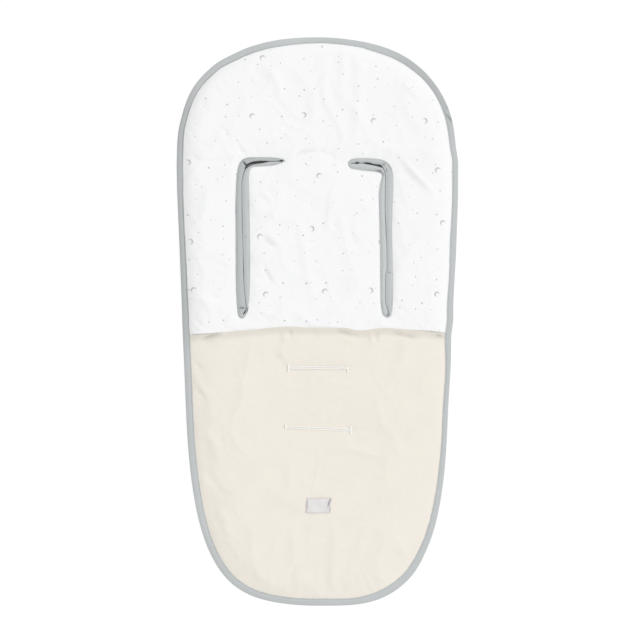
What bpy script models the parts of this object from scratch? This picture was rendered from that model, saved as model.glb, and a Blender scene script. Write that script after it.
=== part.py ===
"""Padded seat liner for a stroller, lying face up.

The head end points to +Y, the child's side faces +Z and the underside lies on Z = 0.
Lengths are in metres. The liner is a sandwich of back cloth, wadding and front cloth,
bound with tape at its edge and at the harness slots. It bends at two lines, the seam
where backrest and seat meet and the line where the legs hang down, so every layer
that crosses a line is cut there.
"""

import math

import bmesh
import bpy
import numpy as np
from mathutils import Vector
from mathutils.geometry import delaunay_2d_cdt

# Lengths along the liner, from the head end to the foot end
BACK_LENGTH = 0.433  # head end to the middle of the seam
SEAT_DEPTH = 0.222  # seam to the line where the legs hang down
LEG_LENGTH = 0.195  # that line to the foot end

# Outline: round ends on sides that taper towards the foot
SHOULDER_WIDTH = 0.420
FOOT_WIDTH = 0.368  # width that the tapering sides would reach at the foot end
HEAD_ROUND = 0.192  # length of the round head end
FOOT_ROUND = 0.295
HEAD_POWER = 2.38  # 2 would be an ellipse, more is squarer
FOOT_POWER = 3.06
SEAM_RISE = 0.012  # the seam's middle lies this much higher than its ends

# Layers
CLOTH = 0.0008
TAPE = 0.0008
THREAD = 0.0005
SEWN_WADDING = 0.0012  # squeezed under a binding
FULL_WADDING = 0.0096
GAP = 0.0003  # between touching pieces

# Distances in which the padding swells from a sewn line to its full height
EDGE_SWELL = 0.050
SLOT_SWELL = 0.022
CROTCH_SWELL = 0.014
SEAM_SWELL = 0.016
SEAM_DIP = 0.0030
UNDER_SWELL = 0.016

# Bindings
BINDING_WIDTH = 0.0095  # of each of the two legs that grip the sandwich
BINDING_ROUND = 0.0010
BINDING_MARGIN = 0.0005  # flat cloth beyond a binding

# Harness slots, measured from the seam's middle and from the slots' own centre line
SLOT_SHIFT = -0.0035  # the pair sits slightly left of the liner's centre line
SLOT_SPACING = 0.213
SLOT_ABOVE_SEAM = 0.023
SLOT_HEIGHT = 0.220
SLOT_ARM = 0.051
SLOT_OPENING = 0.007
SLOT_BINDING_WIDTH = 0.007

# Crotch strap slots, measured down from the seam's middle
CROTCH_REAR_BELOW = 0.0607
CROTCH_FRONT_BELOW = 0.1520
CROTCH_LENGTH = 0.086
CROTCH_OPENING = 0.005
CROTCH_EDGING_WIDTH = 0.0020

# Label
LABEL_LENGTH = 0.038
LABEL_WIDTH = 0.022
LABEL_THICKNESS = 0.0008
LABEL_BELOW_LEG_LINE = 0.044
LABEL_TILT = math.radians(1.0)

# Fineness of the meshes
EDGE_STEP = 0.020
SLIT_STEP = 0.025
GRID_STEP = 0.026
CAP_STEPS = 6

LENGTH = BACK_LENGTH + SEAT_DEPTH + LEG_LENGTH
HEAD_Y = LENGTH / 2
SEAM_Y = HEAD_Y - BACK_LENGTH
LEG_Y = SEAM_Y - SEAT_DEPTH
FOOT_Y = -LENGTH / 2
SEWN_BASE = TAPE + GAP
SEWN_FACE = SEWN_BASE + CLOTH + GAP + SEWN_WADDING + GAP + CLOTH
FULL_FACE = CLOTH + GAP + FULL_WADDING + GAP + CLOTH
PANEL_INSET = TAPE + GAP

COLOURS = {
    "printed_cotton": (0.92, 0.92, 0.92),
    "ecru_cotton": (0.84, 0.80, 0.72),
    "wadding": (0.90, 0.90, 0.88),
    "back_cotton": (0.90, 0.89, 0.86),
    "grey_tape": (0.48, 0.51, 0.52),
    "ivory_thread": (0.88, 0.86, 0.80),
    "label_ribbon": (0.76, 0.72, 0.76),
}


def material(name):
    found = bpy.data.materials.get(name)
    if found:
        return found
    made = bpy.data.materials.new(name)
    made.use_nodes = True
    shader = made.node_tree.nodes["Principled BSDF"]
    shader.inputs["Base Color"].default_value = (*COLOURS[name], 1)
    shader.inputs["Roughness"].default_value = 0.9
    shader.inputs["Metallic"].default_value = 0
    return made


def add_piece(name, points, faces, finish, section):
    """A closed solid from points and faces, carried by its section."""
    mesh = bpy.data.meshes.new(name)
    mesh.from_pydata([tuple(point) for point in points], [], faces)
    work = bmesh.new()
    work.from_mesh(mesh)
    bmesh.ops.recalc_face_normals(work, faces=work.faces)
    work.to_mesh(mesh)
    work.free()
    mesh.materials.append(material(finish))
    piece = bpy.data.objects.new(name, mesh)
    bpy.context.scene.collection.objects.link(piece)
    piece.parent = section
    piece.location = -section.location
    mesh.shade_smooth()
    mesh.set_sharp_from_angle(angle=math.radians(35))
    return piece


def seam_line(x):
    """Height of the seam between upper and lower half, an arch across the liner."""
    return SEAM_Y - SEAM_RISE * (2 * x / SHOULDER_WIDTH) ** 2


def leg_line(x):
    return LEG_Y + 0 * x


def half_width(y):
    """Half the liner's width at y: tapering sides times a superellipse at each end."""
    shoulder_y = HEAD_Y - HEAD_ROUND
    down = np.clip((shoulder_y - y) / (shoulder_y - FOOT_Y), 0, 1)
    side = (SHOULDER_WIDTH + (FOOT_WIDTH - SHOULDER_WIDTH) * down) / 2
    into_head = np.clip((y - shoulder_y) / HEAD_ROUND, 0, 1)
    into_foot = np.clip((FOOT_Y + FOOT_ROUND - y) / FOOT_ROUND, 0, 1)
    head = (1 - into_head**HEAD_POWER) ** (1 / HEAD_POWER)
    foot = (1 - into_foot**FOOT_POWER) ** (1 / FOOT_POWER)
    return side * head * foot


def right_edge(low, high):
    """Points up the right edge from y = low to y = high, evenly spaced along it."""
    turn = np.linspace(0, math.pi, 4001)
    y = low + (high - low) * (1 - np.cos(turn)) / 2
    x = half_width(y)
    along = np.concatenate([[0], np.cumsum(np.hypot(np.diff(x), np.diff(y)))])
    count = max(2, round(along[-1] / EDGE_STEP) + 1)
    at = np.linspace(0, along[-1], count)
    return np.column_stack([np.interp(at, along, x), np.interp(at, along, y)])


def mirrored(route):
    """The same route on the left side, run the other way."""
    return route[::-1] * (-1, 1)


def shifted(route, distance, closed=False):
    """The route moved to its left by a distance, with mitred corners."""
    ahead = np.roll(route, -1, axis=0) - route
    ahead /= np.linalg.norm(ahead, axis=1)[:, None]
    behind = np.roll(ahead, 1, axis=0)
    if not closed:
        ahead[-1] = behind[-1]
        behind[0] = ahead[0]
    left_ahead = np.column_stack([-ahead[:, 1], ahead[:, 0]])
    left_behind = np.column_stack([-behind[:, 1], behind[:, 0]])
    share = 1 + (left_ahead * left_behind).sum(axis=1)
    return route + distance * (left_ahead + left_behind) / share[:, None]


def spaced(route, step):
    """The route with points added so that none lie further apart than a step."""
    points = [route[0]]
    for start, end in zip(route[:-1], route[1:]):
        parts = max(1, math.ceil(np.linalg.norm(end - start) / step))
        points += [start + (end - start) * i / parts for i in range(1, parts + 1)]
    return np.array(points)


def slit(route, opening):
    """Closed loop round a slit along a route: up its right side, round the end and back."""
    route = spaced(np.array(route), SLIT_STEP)
    path = np.concatenate([route, route[-2:0:-1]])
    ahead = np.roll(path, -1, axis=0) - path
    heading = np.arctan2(ahead[:, 1], ahead[:, 0])
    loop = []
    for point, before, after in zip(path, np.roll(heading, 1), heading):
        turn = (after - before) % (2 * math.pi)
        if turn > math.pi + 0.01:
            turn -= 2 * math.pi
        steps = max(0, round(CAP_STEPS * turn / math.pi))
        if steps:
            turned = before - math.pi / 2 + turn * np.arange(steps + 1) / steps
            radius = opening / 2
        else:
            turned = np.array([before - math.pi / 2 + turn / 2])
            radius = opening / 2 / math.cos(turn / 2)
        loop += list(point + radius * np.column_stack([np.cos(turned), np.sin(turned)]))
    return np.array(loop)


def snapped(route, first, last):
    """An edge route whose end points lie exactly on the given lines."""
    route = route.copy()
    route[0, 1] = first(route[0, 0])
    route[-1, 1] = last(route[-1, 0])
    return route


def across(line, start, end, rings):
    """Points along a cut line between two x, also where the binding's inner edge meets it."""
    count = max(2, round(abs(end - start) / GRID_STEP))
    middle = np.linspace(start, end, count + 1)[1:-1]
    clear = [x for x in middle if all(abs(x - ring) > GRID_STEP / 3 for ring in rings)]
    inner = sorted(clear + list(rings), reverse=bool(end < start))
    return np.array([(x, line(x)) for x in inner])


def inside(points, loop):
    """Which points lie inside a closed loop."""
    x, y = points[:, 0, None], points[:, 1, None]
    (x1, y1), (x2, y2) = loop.T, np.roll(loop, -1, axis=0).T
    crosses = (y1 > y) != (y2 > y)
    level = np.where(y1 == y2, 1, y2 - y1)
    return (crosses & (x < (x2 - x1) * (y - y1) / level + x1)).sum(axis=1) % 2 == 1


def distance_to(points, route, closed):
    """Distance from each point to a route."""
    starts = route if closed else route[:-1]
    ends = np.roll(route, -1, axis=0) if closed else route[1:]
    along = ends - starts
    away = points[:, None] - starts
    share = np.clip((away * along).sum(axis=2) / (along**2).sum(axis=1), 0, 1)
    return np.linalg.norm(away - share[..., None] * along, axis=2).min(axis=1)


def swell(distance, run):
    """0 at a sewn line, rising fast and then levelling out to 1 at the end of the run."""
    left = 1 - np.clip(distance / run, 0, 1)
    return 1 - left**2.4


class Section:
    """One stretch of the liner: its region, its slits and the shared plan of its layers."""

    def __init__(self, name, axis_y, axis_z, edge_routes, region, rings, slits):
        self.empty = bpy.data.objects.new(name, None)
        self.empty.location = (0, axis_y, axis_z)
        bpy.context.scene.collection.objects.link(self.empty)
        self.edge_routes = edge_routes
        self.slits = slits
        self.points, self.triangles = self.plan(region, rings)

    def plan(self, region, rings):
        """Flat triangulation of the region without its slits, shared by all layers."""
        holes = [shifted(loop, -PANEL_INSET, True) for loop, _, _ in self.slits]
        slit_rings = [
            shifted(loop, -(width + BINDING_MARGIN), True) for loop, width, _ in self.slits
        ]
        routes = [(region, True), *[(loop, True) for loop in holes + slit_rings]]
        routes += [(ring, False) for ring in rings]
        low, high = region.min(axis=0), region.max(axis=0)
        rows = np.arange(low[1], high[1], GRID_STEP * math.sqrt(3) / 2)
        grid = [
            (x + GRID_STEP / 2 * (row % 2), y)
            for row, y in enumerate(rows)
            for x in np.arange(-SHOULDER_WIDTH / 2, SHOULDER_WIDTH / 2, GRID_STEP)
        ]
        grid = np.array([point for point in grid if low[0] < point[0] < high[0]])
        clear = inside(grid, region)
        for route, closed in routes:
            clear &= distance_to(grid, route, closed) > GRID_STEP * 0.42
        for loop in slit_rings:
            clear &= ~inside(grid, loop)
        points, edges = [], []
        for route, closed in routes:
            first = len(points)
            points += list(route)
            count = len(route)
            edges += [(first + i, first + i + 1) for i in range(count - 1)]
            if closed:
                edges.append((first + count - 1, first))
        points += list(grid[clear])
        in_mm = [Vector(point) * 1000 for point in points]
        found, _, triangles, *_ = delaunay_2d_cdt(in_mm, edges, [], 0, 1e-3)
        flat = np.array([tuple(point) for point in found]) / 1000
        triangles = np.array(triangles)
        middles = flat[triangles].mean(axis=1)
        keep = inside(middles, region)
        for loop in holes:
            keep &= ~inside(middles, loop)
        used, triangles = np.unique(triangles[keep], return_inverse=True)
        return flat[used], triangles.reshape(-1, 3)

    def fullness(self, edge_run, slot_run_share):
        """How far each point of the plan is from being sewn flat, from 0 to 1."""
        width = BINDING_WIDTH + BINDING_MARGIN
        full = np.ones(len(self.points))
        for route in self.edge_routes:
            distance = np.maximum(distance_to(self.points, route, False) - width, 0)
            full *= swell(distance, edge_run)
        for loop, leg, run in self.slits:
            ring = shifted(loop, -(leg + BINDING_MARGIN), True)
            distance = distance_to(self.points, ring, True)
            distance[inside(self.points, ring)] = 0
            full *= swell(distance, run * slot_run_share)
        return full

    def heights(self):
        """Underside and face of the sandwich at each point of the plan."""
        full = self.fullness(EDGE_SWELL, 1)
        under = SEWN_BASE * (1 - self.fullness(UNDER_SWELL, UNDER_SWELL / SLOT_SWELL))
        from_seam = np.abs(self.points[:, 1] - seam_line(self.points[:, 0]))
        dip = SEAM_DIP * (1 - swell(from_seam, SEAM_SWELL))
        face = SEWN_FACE + (FULL_FACE - SEWN_FACE - dip) * full
        return under, face

    def add_layer(self, name, bottom, top, finish):
        """A solid between two height fields over the shared plan."""
        count = len(self.points)
        points = np.concatenate(
            [np.column_stack([self.points, bottom]), np.column_stack([self.points, top])]
        )
        faces = [tuple(corner + count for corner in triangle) for triangle in self.triangles]
        faces += [tuple(triangle[::-1]) for triangle in self.triangles]
        sides = {}
        for a, b, c in self.triangles:
            for edge in ((a, b), (b, c), (c, a)):
                sides[edge] = sides.get(edge, 0) + 1
        for a, b in sides:
            if (b, a) not in sides:
                faces.append((a, b, b + count, a + count))
        return add_piece(name, points, faces, finish, self.empty)

    def add_layers(self, part):
        under, face = self.heights()
        finish = "printed_cotton" if part == "upper" else "ecru_cotton"
        self.add_layer(f"back_{part}_panel", under, under + CLOTH, "back_cotton")
        low = under + CLOTH + GAP
        self.add_layer(f"wadding_{part}", low, face - CLOTH - GAP, "wadding")
        self.add_layer(f"front_{part}_panel", face - CLOTH, face, finish)


def folded_tape(leg, wall, low, high):
    """Profile of a tape folded round an edge, as (distance from the edge, height)."""
    bend = min(BINDING_ROUND, 1.2 * wall)
    return [
        (leg, low),
        (bend, low),
        (0, low + bend),
        (0, high - bend),
        (bend, high),
        (leg, high),
        (leg, high - wall),
        (wall, high - wall),
        (wall, low + wall),
        (leg, low + wall),
    ]


def add_tape(name, rings, closed, finish, section):
    """A tape from one ring of points for each point of its profile."""
    count = len(rings[0])
    points = np.concatenate(rings)
    faces = []
    for j in range(len(rings)):
        here, there = j * count, (j + 1) % len(rings) * count
        for i in range(count if closed else count - 1):
            k = (i + 1) % count
            faces.append((here + i, here + k, there + k, there + i))
    if not closed:
        faces.append(tuple(j * count for j in range(len(rings))))
        faces.append(tuple(j * count + count - 1 for j in range(len(rings))))
    return add_piece(name, points, faces, finish, section)


def add_edge_binding(name, route, first, last, section):
    """The tape along an edge route, cut at a line at each end."""
    profile = folded_tape(BINDING_WIDTH, TAPE, 0, SEWN_FACE + GAP + TAPE)
    rings = []
    for inset, height in profile:
        ring = snapped(shifted(route, inset), first, last)
        rings.append(np.column_stack([ring, np.full(len(ring), height)]))
    add_tape(name, rings, False, "grey_tape", section)


def add_slit_binding(name, loop, leg, wall, finish, section):
    """The tape or stitching round a slit, over both faces of the sandwich."""
    low = SEWN_BASE - GAP - wall
    profile = folded_tape(leg, wall, low, SEWN_FACE + GAP + wall)
    rings = []
    for inset, height in profile:
        ring = shifted(loop, -inset, True)
        rings.append(np.column_stack([ring, np.full(len(ring), height)]))
    add_tape(name, rings, True, finish, section)


def harness_slit(side):
    """Loop of one harness slot: up the child's shoulder, then a short arm inwards."""
    x = SLOT_SHIFT + side * SLOT_SPACING / 2
    low = SEAM_Y + SLOT_ABOVE_SEAM
    high = low + SLOT_HEIGHT
    loop = slit([(0, low), (0, high), (-SLOT_ARM, high)], SLOT_OPENING)
    return (loop if side > 0 else mirrored(loop)) + (x, 0)


def crotch_slit(below):
    y = SEAM_Y - below
    return slit([(-CROTCH_LENGTH / 2, y), (CROTCH_LENGTH / 2, y)], CROTCH_OPENING)


def inset_edge(route, inset, first, last):
    return snapped(shifted(route, inset), first, last)


def add_upper():
    """The half that covers the backrest."""

    def line(x):
        return seam_line(x) + GAP / 2

    low = line(half_width(SEAM_Y - SEAM_RISE))
    right = right_edge(low, HEAD_Y)
    edge = np.concatenate([right, mirrored(right)[1:]])
    panel = inset_edge(edge, PANEL_INSET, line, line)
    ring = inset_edge(edge, BINDING_WIDTH + BINDING_MARGIN, line, line)
    cut = across(line, panel[-1, 0], panel[0, 0], (ring[-1, 0], ring[0, 0]))
    slits = [(harness_slit(side), SLOT_BINDING_WIDTH, SLOT_SWELL) for side in (-1, 1)]
    fold_z = FULL_FACE + GAP
    region = np.concatenate([panel, cut])
    section = Section("back_fold_axis", SEAM_Y, fold_z, [edge], region, [ring], slits)
    section.add_layers("upper")
    add_edge_binding("edge_binding_upper", edge, line, line, section.empty)
    for side, (loop, leg, _) in zip(("left", "right"), slits):
        name = f"{side}_slot_binding"
        add_slit_binding(name, loop, leg, TAPE, "grey_tape", section.empty)


def add_seat():
    """The part that lies on the seat, with the two crotch strap slots."""

    def top(x):
        return seam_line(x) - GAP / 2

    def bottom(x):
        return leg_line(x) + GAP / 2

    right = right_edge(bottom(0), top(half_width(SEAM_Y - SEAM_RISE)))
    left = mirrored(right)
    panel_right = inset_edge(right, PANEL_INSET, bottom, top)
    panel_left = inset_edge(left, PANEL_INSET, top, bottom)
    width = BINDING_WIDTH + BINDING_MARGIN
    ring_right = inset_edge(right, width, bottom, top)
    ring_left = inset_edge(left, width, top, bottom)
    top_rings = (ring_right[-1, 0], ring_left[0, 0])
    bottom_rings = (ring_left[-1, 0], ring_right[0, 0])
    cut_top = across(top, panel_right[-1, 0], panel_left[0, 0], top_rings)
    cut_bottom = across(bottom, panel_left[-1, 0], panel_right[0, 0], bottom_rings)
    region = np.concatenate([panel_right, cut_top, panel_left, cut_bottom])
    slits = [
        (crotch_slit(below), CROTCH_EDGING_WIDTH, CROTCH_SWELL)
        for below in (CROTCH_REAR_BELOW, CROTCH_FRONT_BELOW)
    ]
    rings = [ring_right, ring_left]
    section = Section("seat_origin", 0, 0, [right, left], region, rings, slits)
    section.add_layers("seat")
    add_edge_binding("edge_binding_seat_right", right, bottom, top, section.empty)
    add_edge_binding("edge_binding_seat_left", left, top, bottom, section.empty)
    for place, (loop, leg, _) in zip(("rear", "front"), slits):
        name = f"crotch_slot_{place}_edging"
        add_slit_binding(name, loop, leg, THREAD, "ivory_thread", section.empty)


def add_leg():
    """The part that hangs over the front edge of the seat, with the label."""

    def line(x):
        return leg_line(x) - GAP / 2

    right = right_edge(FOOT_Y, line(0))
    edge = np.concatenate([mirrored(right), right[1:]])
    panel = inset_edge(edge, PANEL_INSET, line, line)
    ring = inset_edge(edge, BINDING_WIDTH + BINDING_MARGIN, line, line)
    cut = across(line, panel[-1, 0], panel[0, 0], (ring[-1, 0], ring[0, 0]))
    region = np.concatenate([panel, cut])
    section = Section("leg_fold_axis", LEG_Y, 0, [edge], region, [ring], [])
    section.add_layers("leg")
    add_edge_binding("edge_binding_leg", edge, line, line, section.empty)
    add_label(section)


def add_label(section):
    """A short ribbon laid flat on the front cloth, its corners slightly rounded."""
    corner = LABEL_THICKNESS
    half_x, half_y = LABEL_LENGTH / 2, LABEL_WIDTH / 2
    outline = [
        (sx * (half_x - (0 if flat_side else corner)), sy * (half_y - (corner if flat_side else 0)))
        for sx, sy, flat_side in (
            (1, -1, True),
            (1, 1, True),
            (1, 1, False),
            (-1, 1, False),
            (-1, 1, True),
            (-1, -1, True),
            (-1, -1, False),
            (1, -1, False),
        )
    ]
    low = FULL_FACE + GAP
    y = LEG_Y - LABEL_BELOW_LEG_LINE
    cos, sin = math.cos(LABEL_TILT), math.sin(LABEL_TILT)
    points = [
        (px * cos - py * sin, y + px * sin + py * cos, z)
        for z in (low, low + LABEL_THICKNESS)
        for px, py in outline
    ]
    count = len(outline)
    faces = [tuple(range(count)), tuple(range(count, 2 * count))]
    for i in range(count):
        k = (i + 1) % count
        faces.append((i, k, k + count, i + count))
    add_piece("label", points, faces, "label_ribbon", section.empty)


def clear_scene():
    for thing in list(bpy.data.objects):
        bpy.data.objects.remove(thing, do_unlink=True)


def main():
    clear_scene()
    add_upper()
    add_seat()
    add_leg()


main()
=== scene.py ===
"""Looks of a padded seat liner for a stroller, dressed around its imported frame.

Lengths are in metres, but for the tables that say millimetres. +Y points to the head end, +X to
the right edge and +Z up, and the underside of the liner lies on Z = 0.
"""

import math

import bpy
import numpy as np
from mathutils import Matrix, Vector, noise
from mathutils.bvhtree import BVHTree
from mathutils.geometry import delaunay_2d_cdt


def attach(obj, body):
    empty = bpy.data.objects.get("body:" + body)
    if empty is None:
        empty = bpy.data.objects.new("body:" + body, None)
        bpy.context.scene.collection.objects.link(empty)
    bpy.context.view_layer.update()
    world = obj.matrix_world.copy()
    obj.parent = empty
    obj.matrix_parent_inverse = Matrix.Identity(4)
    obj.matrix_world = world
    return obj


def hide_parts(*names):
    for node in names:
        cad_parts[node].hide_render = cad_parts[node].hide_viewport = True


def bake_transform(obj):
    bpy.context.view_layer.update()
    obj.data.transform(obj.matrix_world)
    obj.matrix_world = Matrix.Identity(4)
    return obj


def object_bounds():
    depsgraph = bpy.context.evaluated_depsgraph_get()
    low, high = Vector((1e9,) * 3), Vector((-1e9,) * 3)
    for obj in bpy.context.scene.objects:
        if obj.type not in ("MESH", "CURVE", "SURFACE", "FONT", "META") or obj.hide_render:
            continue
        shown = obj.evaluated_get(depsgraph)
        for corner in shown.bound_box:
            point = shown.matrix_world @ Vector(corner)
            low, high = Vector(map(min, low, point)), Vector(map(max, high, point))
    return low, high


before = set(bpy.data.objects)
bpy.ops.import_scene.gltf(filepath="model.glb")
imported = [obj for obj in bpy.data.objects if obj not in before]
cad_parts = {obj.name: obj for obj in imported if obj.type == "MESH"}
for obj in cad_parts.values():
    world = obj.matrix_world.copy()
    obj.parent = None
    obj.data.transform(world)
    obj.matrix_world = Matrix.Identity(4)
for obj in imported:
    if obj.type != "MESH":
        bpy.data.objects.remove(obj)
cad_low, cad_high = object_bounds()

# The studio. The liner lies on plain white and is seen from straight above through a long
# lens, turned slightly to the left. A pale room lights it softly, and one broad lamp on
# the upper right draws its folds.
CAMERA_HEIGHT = 4.0
FIELD_WIDTH = 0.9554  # of the floor, across the picture
CAMERA_AT = (0.0033, 0.0030)
CAMERA_TURN = math.radians(-0.3)
ROOM_LIGHT = 0.66  # a flat white surface gets 1.0 from room and lamp together
LAMP_LIGHT = 0.34
LAMP_FROM = Vector((0.60, 0.25, 0.76))
LAMP_SPREAD = math.radians(22)
FLOOR_SIDE = 8.0
FLOOR_WHITE = 0.9
FLOOR_GLOW = 0.88  # share of the floor's own white that the camera sees
GLOW_STRENGTH = 1.04
FLOOR_OPEN = 0.03  # the floor counts as covered where something is closer over it than this
COVERED, OPEN = 0.34, 0.46  # shares of open air between which the floor starts to glow


def node(tree, kind, inputs=None, **settings):
    """A node of a kind, with its settings, and its inputs set or linked to nodes or sockets."""
    made = tree.nodes.new(kind)
    for name, value in settings.items():
        setattr(made, name, value)
    for name, value in (inputs or {}).items():
        if isinstance(value, bpy.types.Node):
            value = value.outputs[0]
        if isinstance(value, bpy.types.NodeSocket):
            tree.links.new(value, made.inputs[name])
        else:
            made.inputs[name].default_value = value
    return made


def math_node(tree, operation, *values, clamp=False):
    made = node(tree, "ShaderNodeMath", dict(enumerate(values)), operation=operation)
    made.use_clamp = clamp
    return made.outputs[0]


def vector_node(tree, operation, *values):
    made = node(tree, "ShaderNodeVectorMath", dict(enumerate(values)), operation=operation)
    return made.outputs["Value" if operation == "LENGTH" else "Vector"]


def seen_directly(tree):
    """1 for what the camera sees, also in a gloss or through glass, and 0 for light."""
    path = node(tree, "ShaderNodeLightPath").outputs
    seen = math_node(tree, "ADD", path["Is Camera Ray"], path["Is Glossy Ray"])
    return math_node(tree, "ADD", seen, path["Is Transmission Ray"], clamp=True)


def set_up_camera():
    data = bpy.data.cameras.new("camera")
    data.lens = data.sensor_width * CAMERA_HEIGHT / FIELD_WIDTH
    camera = bpy.data.objects.new("camera", data)
    camera.location = (*CAMERA_AT, CAMERA_HEIGHT)
    camera.rotation_euler = (0, 0, CAMERA_TURN)
    bpy.context.scene.collection.objects.link(camera)
    bpy.context.scene.camera = camera


def set_up_room():
    world = bpy.data.worlds.new("room")
    world.use_nodes = True
    tree = world.node_tree
    tree.nodes.clear()
    light = node(tree, "ShaderNodeBackground", {"Color": (1, 1, 1, 1), "Strength": ROOM_LIGHT})
    white = node(tree, "ShaderNodeBackground", {"Color": (1, 1, 1, 1), "Strength": 1})
    mix = node(tree, "ShaderNodeMixShader", {0: seen_directly(tree), 1: light, 2: white})
    node(tree, "ShaderNodeOutputWorld", {"Surface": mix})
    bpy.context.scene.world = world


def set_up_lamp():
    data = bpy.data.lights.new("window", "SUN")
    data.angle = LAMP_SPREAD
    towards = LAMP_FROM.normalized()
    data.energy = LAMP_LIGHT * math.pi / towards.z
    lamp = bpy.data.objects.new("window", data)
    lamp.rotation_mode = "QUATERNION"
    lamp.rotation_quaternion = towards.to_track_quat("Z", "Y")
    bpy.context.scene.collection.objects.link(lamp)


def set_up_floor():
    half = FLOOR_SIDE / 2
    mesh = bpy.data.meshes.new("floor")
    corners = [(-half, -half, 0), (half, -half, 0), (half, half, 0), (-half, half, 0)]
    mesh.from_pydata(corners, [], [(0, 1, 2, 3)])
    floor_material = bpy.data.materials.new("floor_white")
    floor_material.use_nodes = True
    tree = floor_material.node_tree
    tree.nodes.clear()
    paper = node(tree, "ShaderNodeBsdfDiffuse", {"Color": (FLOOR_WHITE,) * 3 + (1,)})
    glow = node(tree, "ShaderNodeEmission", {"Color": (1, 1, 1, 1), "Strength": GLOW_STRENGTH})
    above = node(tree, "ShaderNodeAmbientOcclusion", {"Distance": FLOOR_OPEN}, samples=32)
    sky = {"Value": above.outputs["AO"], "From Min": COVERED, "From Max": OPEN}
    open_floor = node(tree, "ShaderNodeMapRange", sky)
    share = math_node(tree, "MULTIPLY", seen_directly(tree), FLOOR_GLOW)
    share = math_node(tree, "MULTIPLY", share, open_floor)
    mix = node(tree, "ShaderNodeMixShader", {0: share, 1: paper, 2: glow})
    node(tree, "ShaderNodeOutputMaterial", {"Surface": mix})
    mesh.materials.append(floor_material)
    floor = bpy.data.objects.new("floor", mesh)
    bpy.context.scene.collection.objects.link(floor)


bpy.context.scene.view_settings.view_transform = "Standard"
set_up_camera()
set_up_room()
set_up_lamp()
set_up_floor()

# The back cloth. Plain cotton, cut to the liner's outline with an opening at every slot.
# It lies flat on the seat and rises a little where the tape is folded under it. One cloth
# covers the backrest half and one the seat half, and they meet at the seam.
SHOULDER_WIDTH = 0.420
FOOT_WIDTH = 0.368
HEAD_ROUND, HEAD_POWER = 0.192, 2.38
FOOT_ROUND, FOOT_POWER = 0.295, 3.06
SEAM_Y, SEAM_RISE = -0.008, 0.012
HEAD_Y, FOOT_Y = cad_high.y, cad_low.y
FOLD_UP_TO = SEAM_Y + 0.050  # the backrest fold is spread from the seam to here
LEG_Y = -0.230
LEG_BEND = 0.025  # the bend over the seat's edge spreads this far to each side
EDGE_STEP = 0.003
UNTANGLED = 0.93  # share of its distance that a moved loop's point has to keep
CLEAR_OF_END = 0.8  # of a step, between a cut route's ends and its next points

# How far the sewn edge strays outwards from its pattern, and how wide the tape shows, at
# distances along each side from the foot's middle to the head's middle, in millimetres
RIGHT_STRAY = (
    (0, -1.8), (110, -0.1), (150, 0.1), (200, -1.6), (280, -2.4), (400, -1.9), (480, -0.2), (518, -0.9),
    (545, 1.2), (570, 0.6), (650, 2), (720, 2.1), (775, 0.8), (805, -1.8), (860, -0.3), (960, 0.2),
    (1040, -1.2), (1101, -0.2),
)
LEFT_STRAY = (
    (0, -1.8), (60, -3.2), (160, 1.8), (280, 0.6), (400, 1.6), (520, 1.4), (600, 0.7), (670, 0.4),
    (730, 0.3), (790, -0.8), (840, 0.8), (900, 3.8), (940, 3), (980, 0.4), (1040, -0.2), (1101, -0.2),
)
RIGHT_TAPE = (
    (0, 10.6), (50, 10.2), (100, 11.7), (160, 11.3), (220, 10.1), (300, 8.9), (380, 7.9), (460, 7.6),
    (515, 9.4), (560, 9.6), (600, 8.5), (660, 9.7), (700, 8.8), (780, 8.7), (830, 9.5), (900, 9.2),
    (960, 10.8), (1000, 11.2), (1040, 9.2), (1101, 9.2),
)
LEFT_TAPE = (
    (0, 10.6), (80, 10.5), (160, 10.8), (280, 11), (400, 10.6), (520, 10.6), (600, 9.7), (700, 9),
    (770, 9.7), (840, 9.2), (920, 10.1), (980, 10.8), (1050, 10.4), (1101, 9.2),
)
# How far the seam strays upwards from its bow, at each x, in millimetres
SEAM_STRAY = (
    (-210, 0.8), (-150, -0.9), (-100, 0.1), (-45, 2.1), (-10, -0.1), (36, -0.1), (62, -3.6), (100, 1.3),
    (170, 1.4), (210, 1.2),
)

SEWN_BASE, SEWN_FACE, FULL_FACE = 0.0011, 0.0045, 0.0104
CLOTH = 0.0006
EDGE_TURN = 0.0014  # the cloths are cut this far inside the edge tape's fold
OPENING_TURN = {"upper": 0.0030, "lower": 0.0014}  # and this far from the slits of their half
CLOTH_STEP = 0.0050
BACK_STEP = 0.0080
UNDER_SWELL = 0.016  # run over which the underside rises beside tape
UNDER_LUMPS = 0.0006

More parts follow.
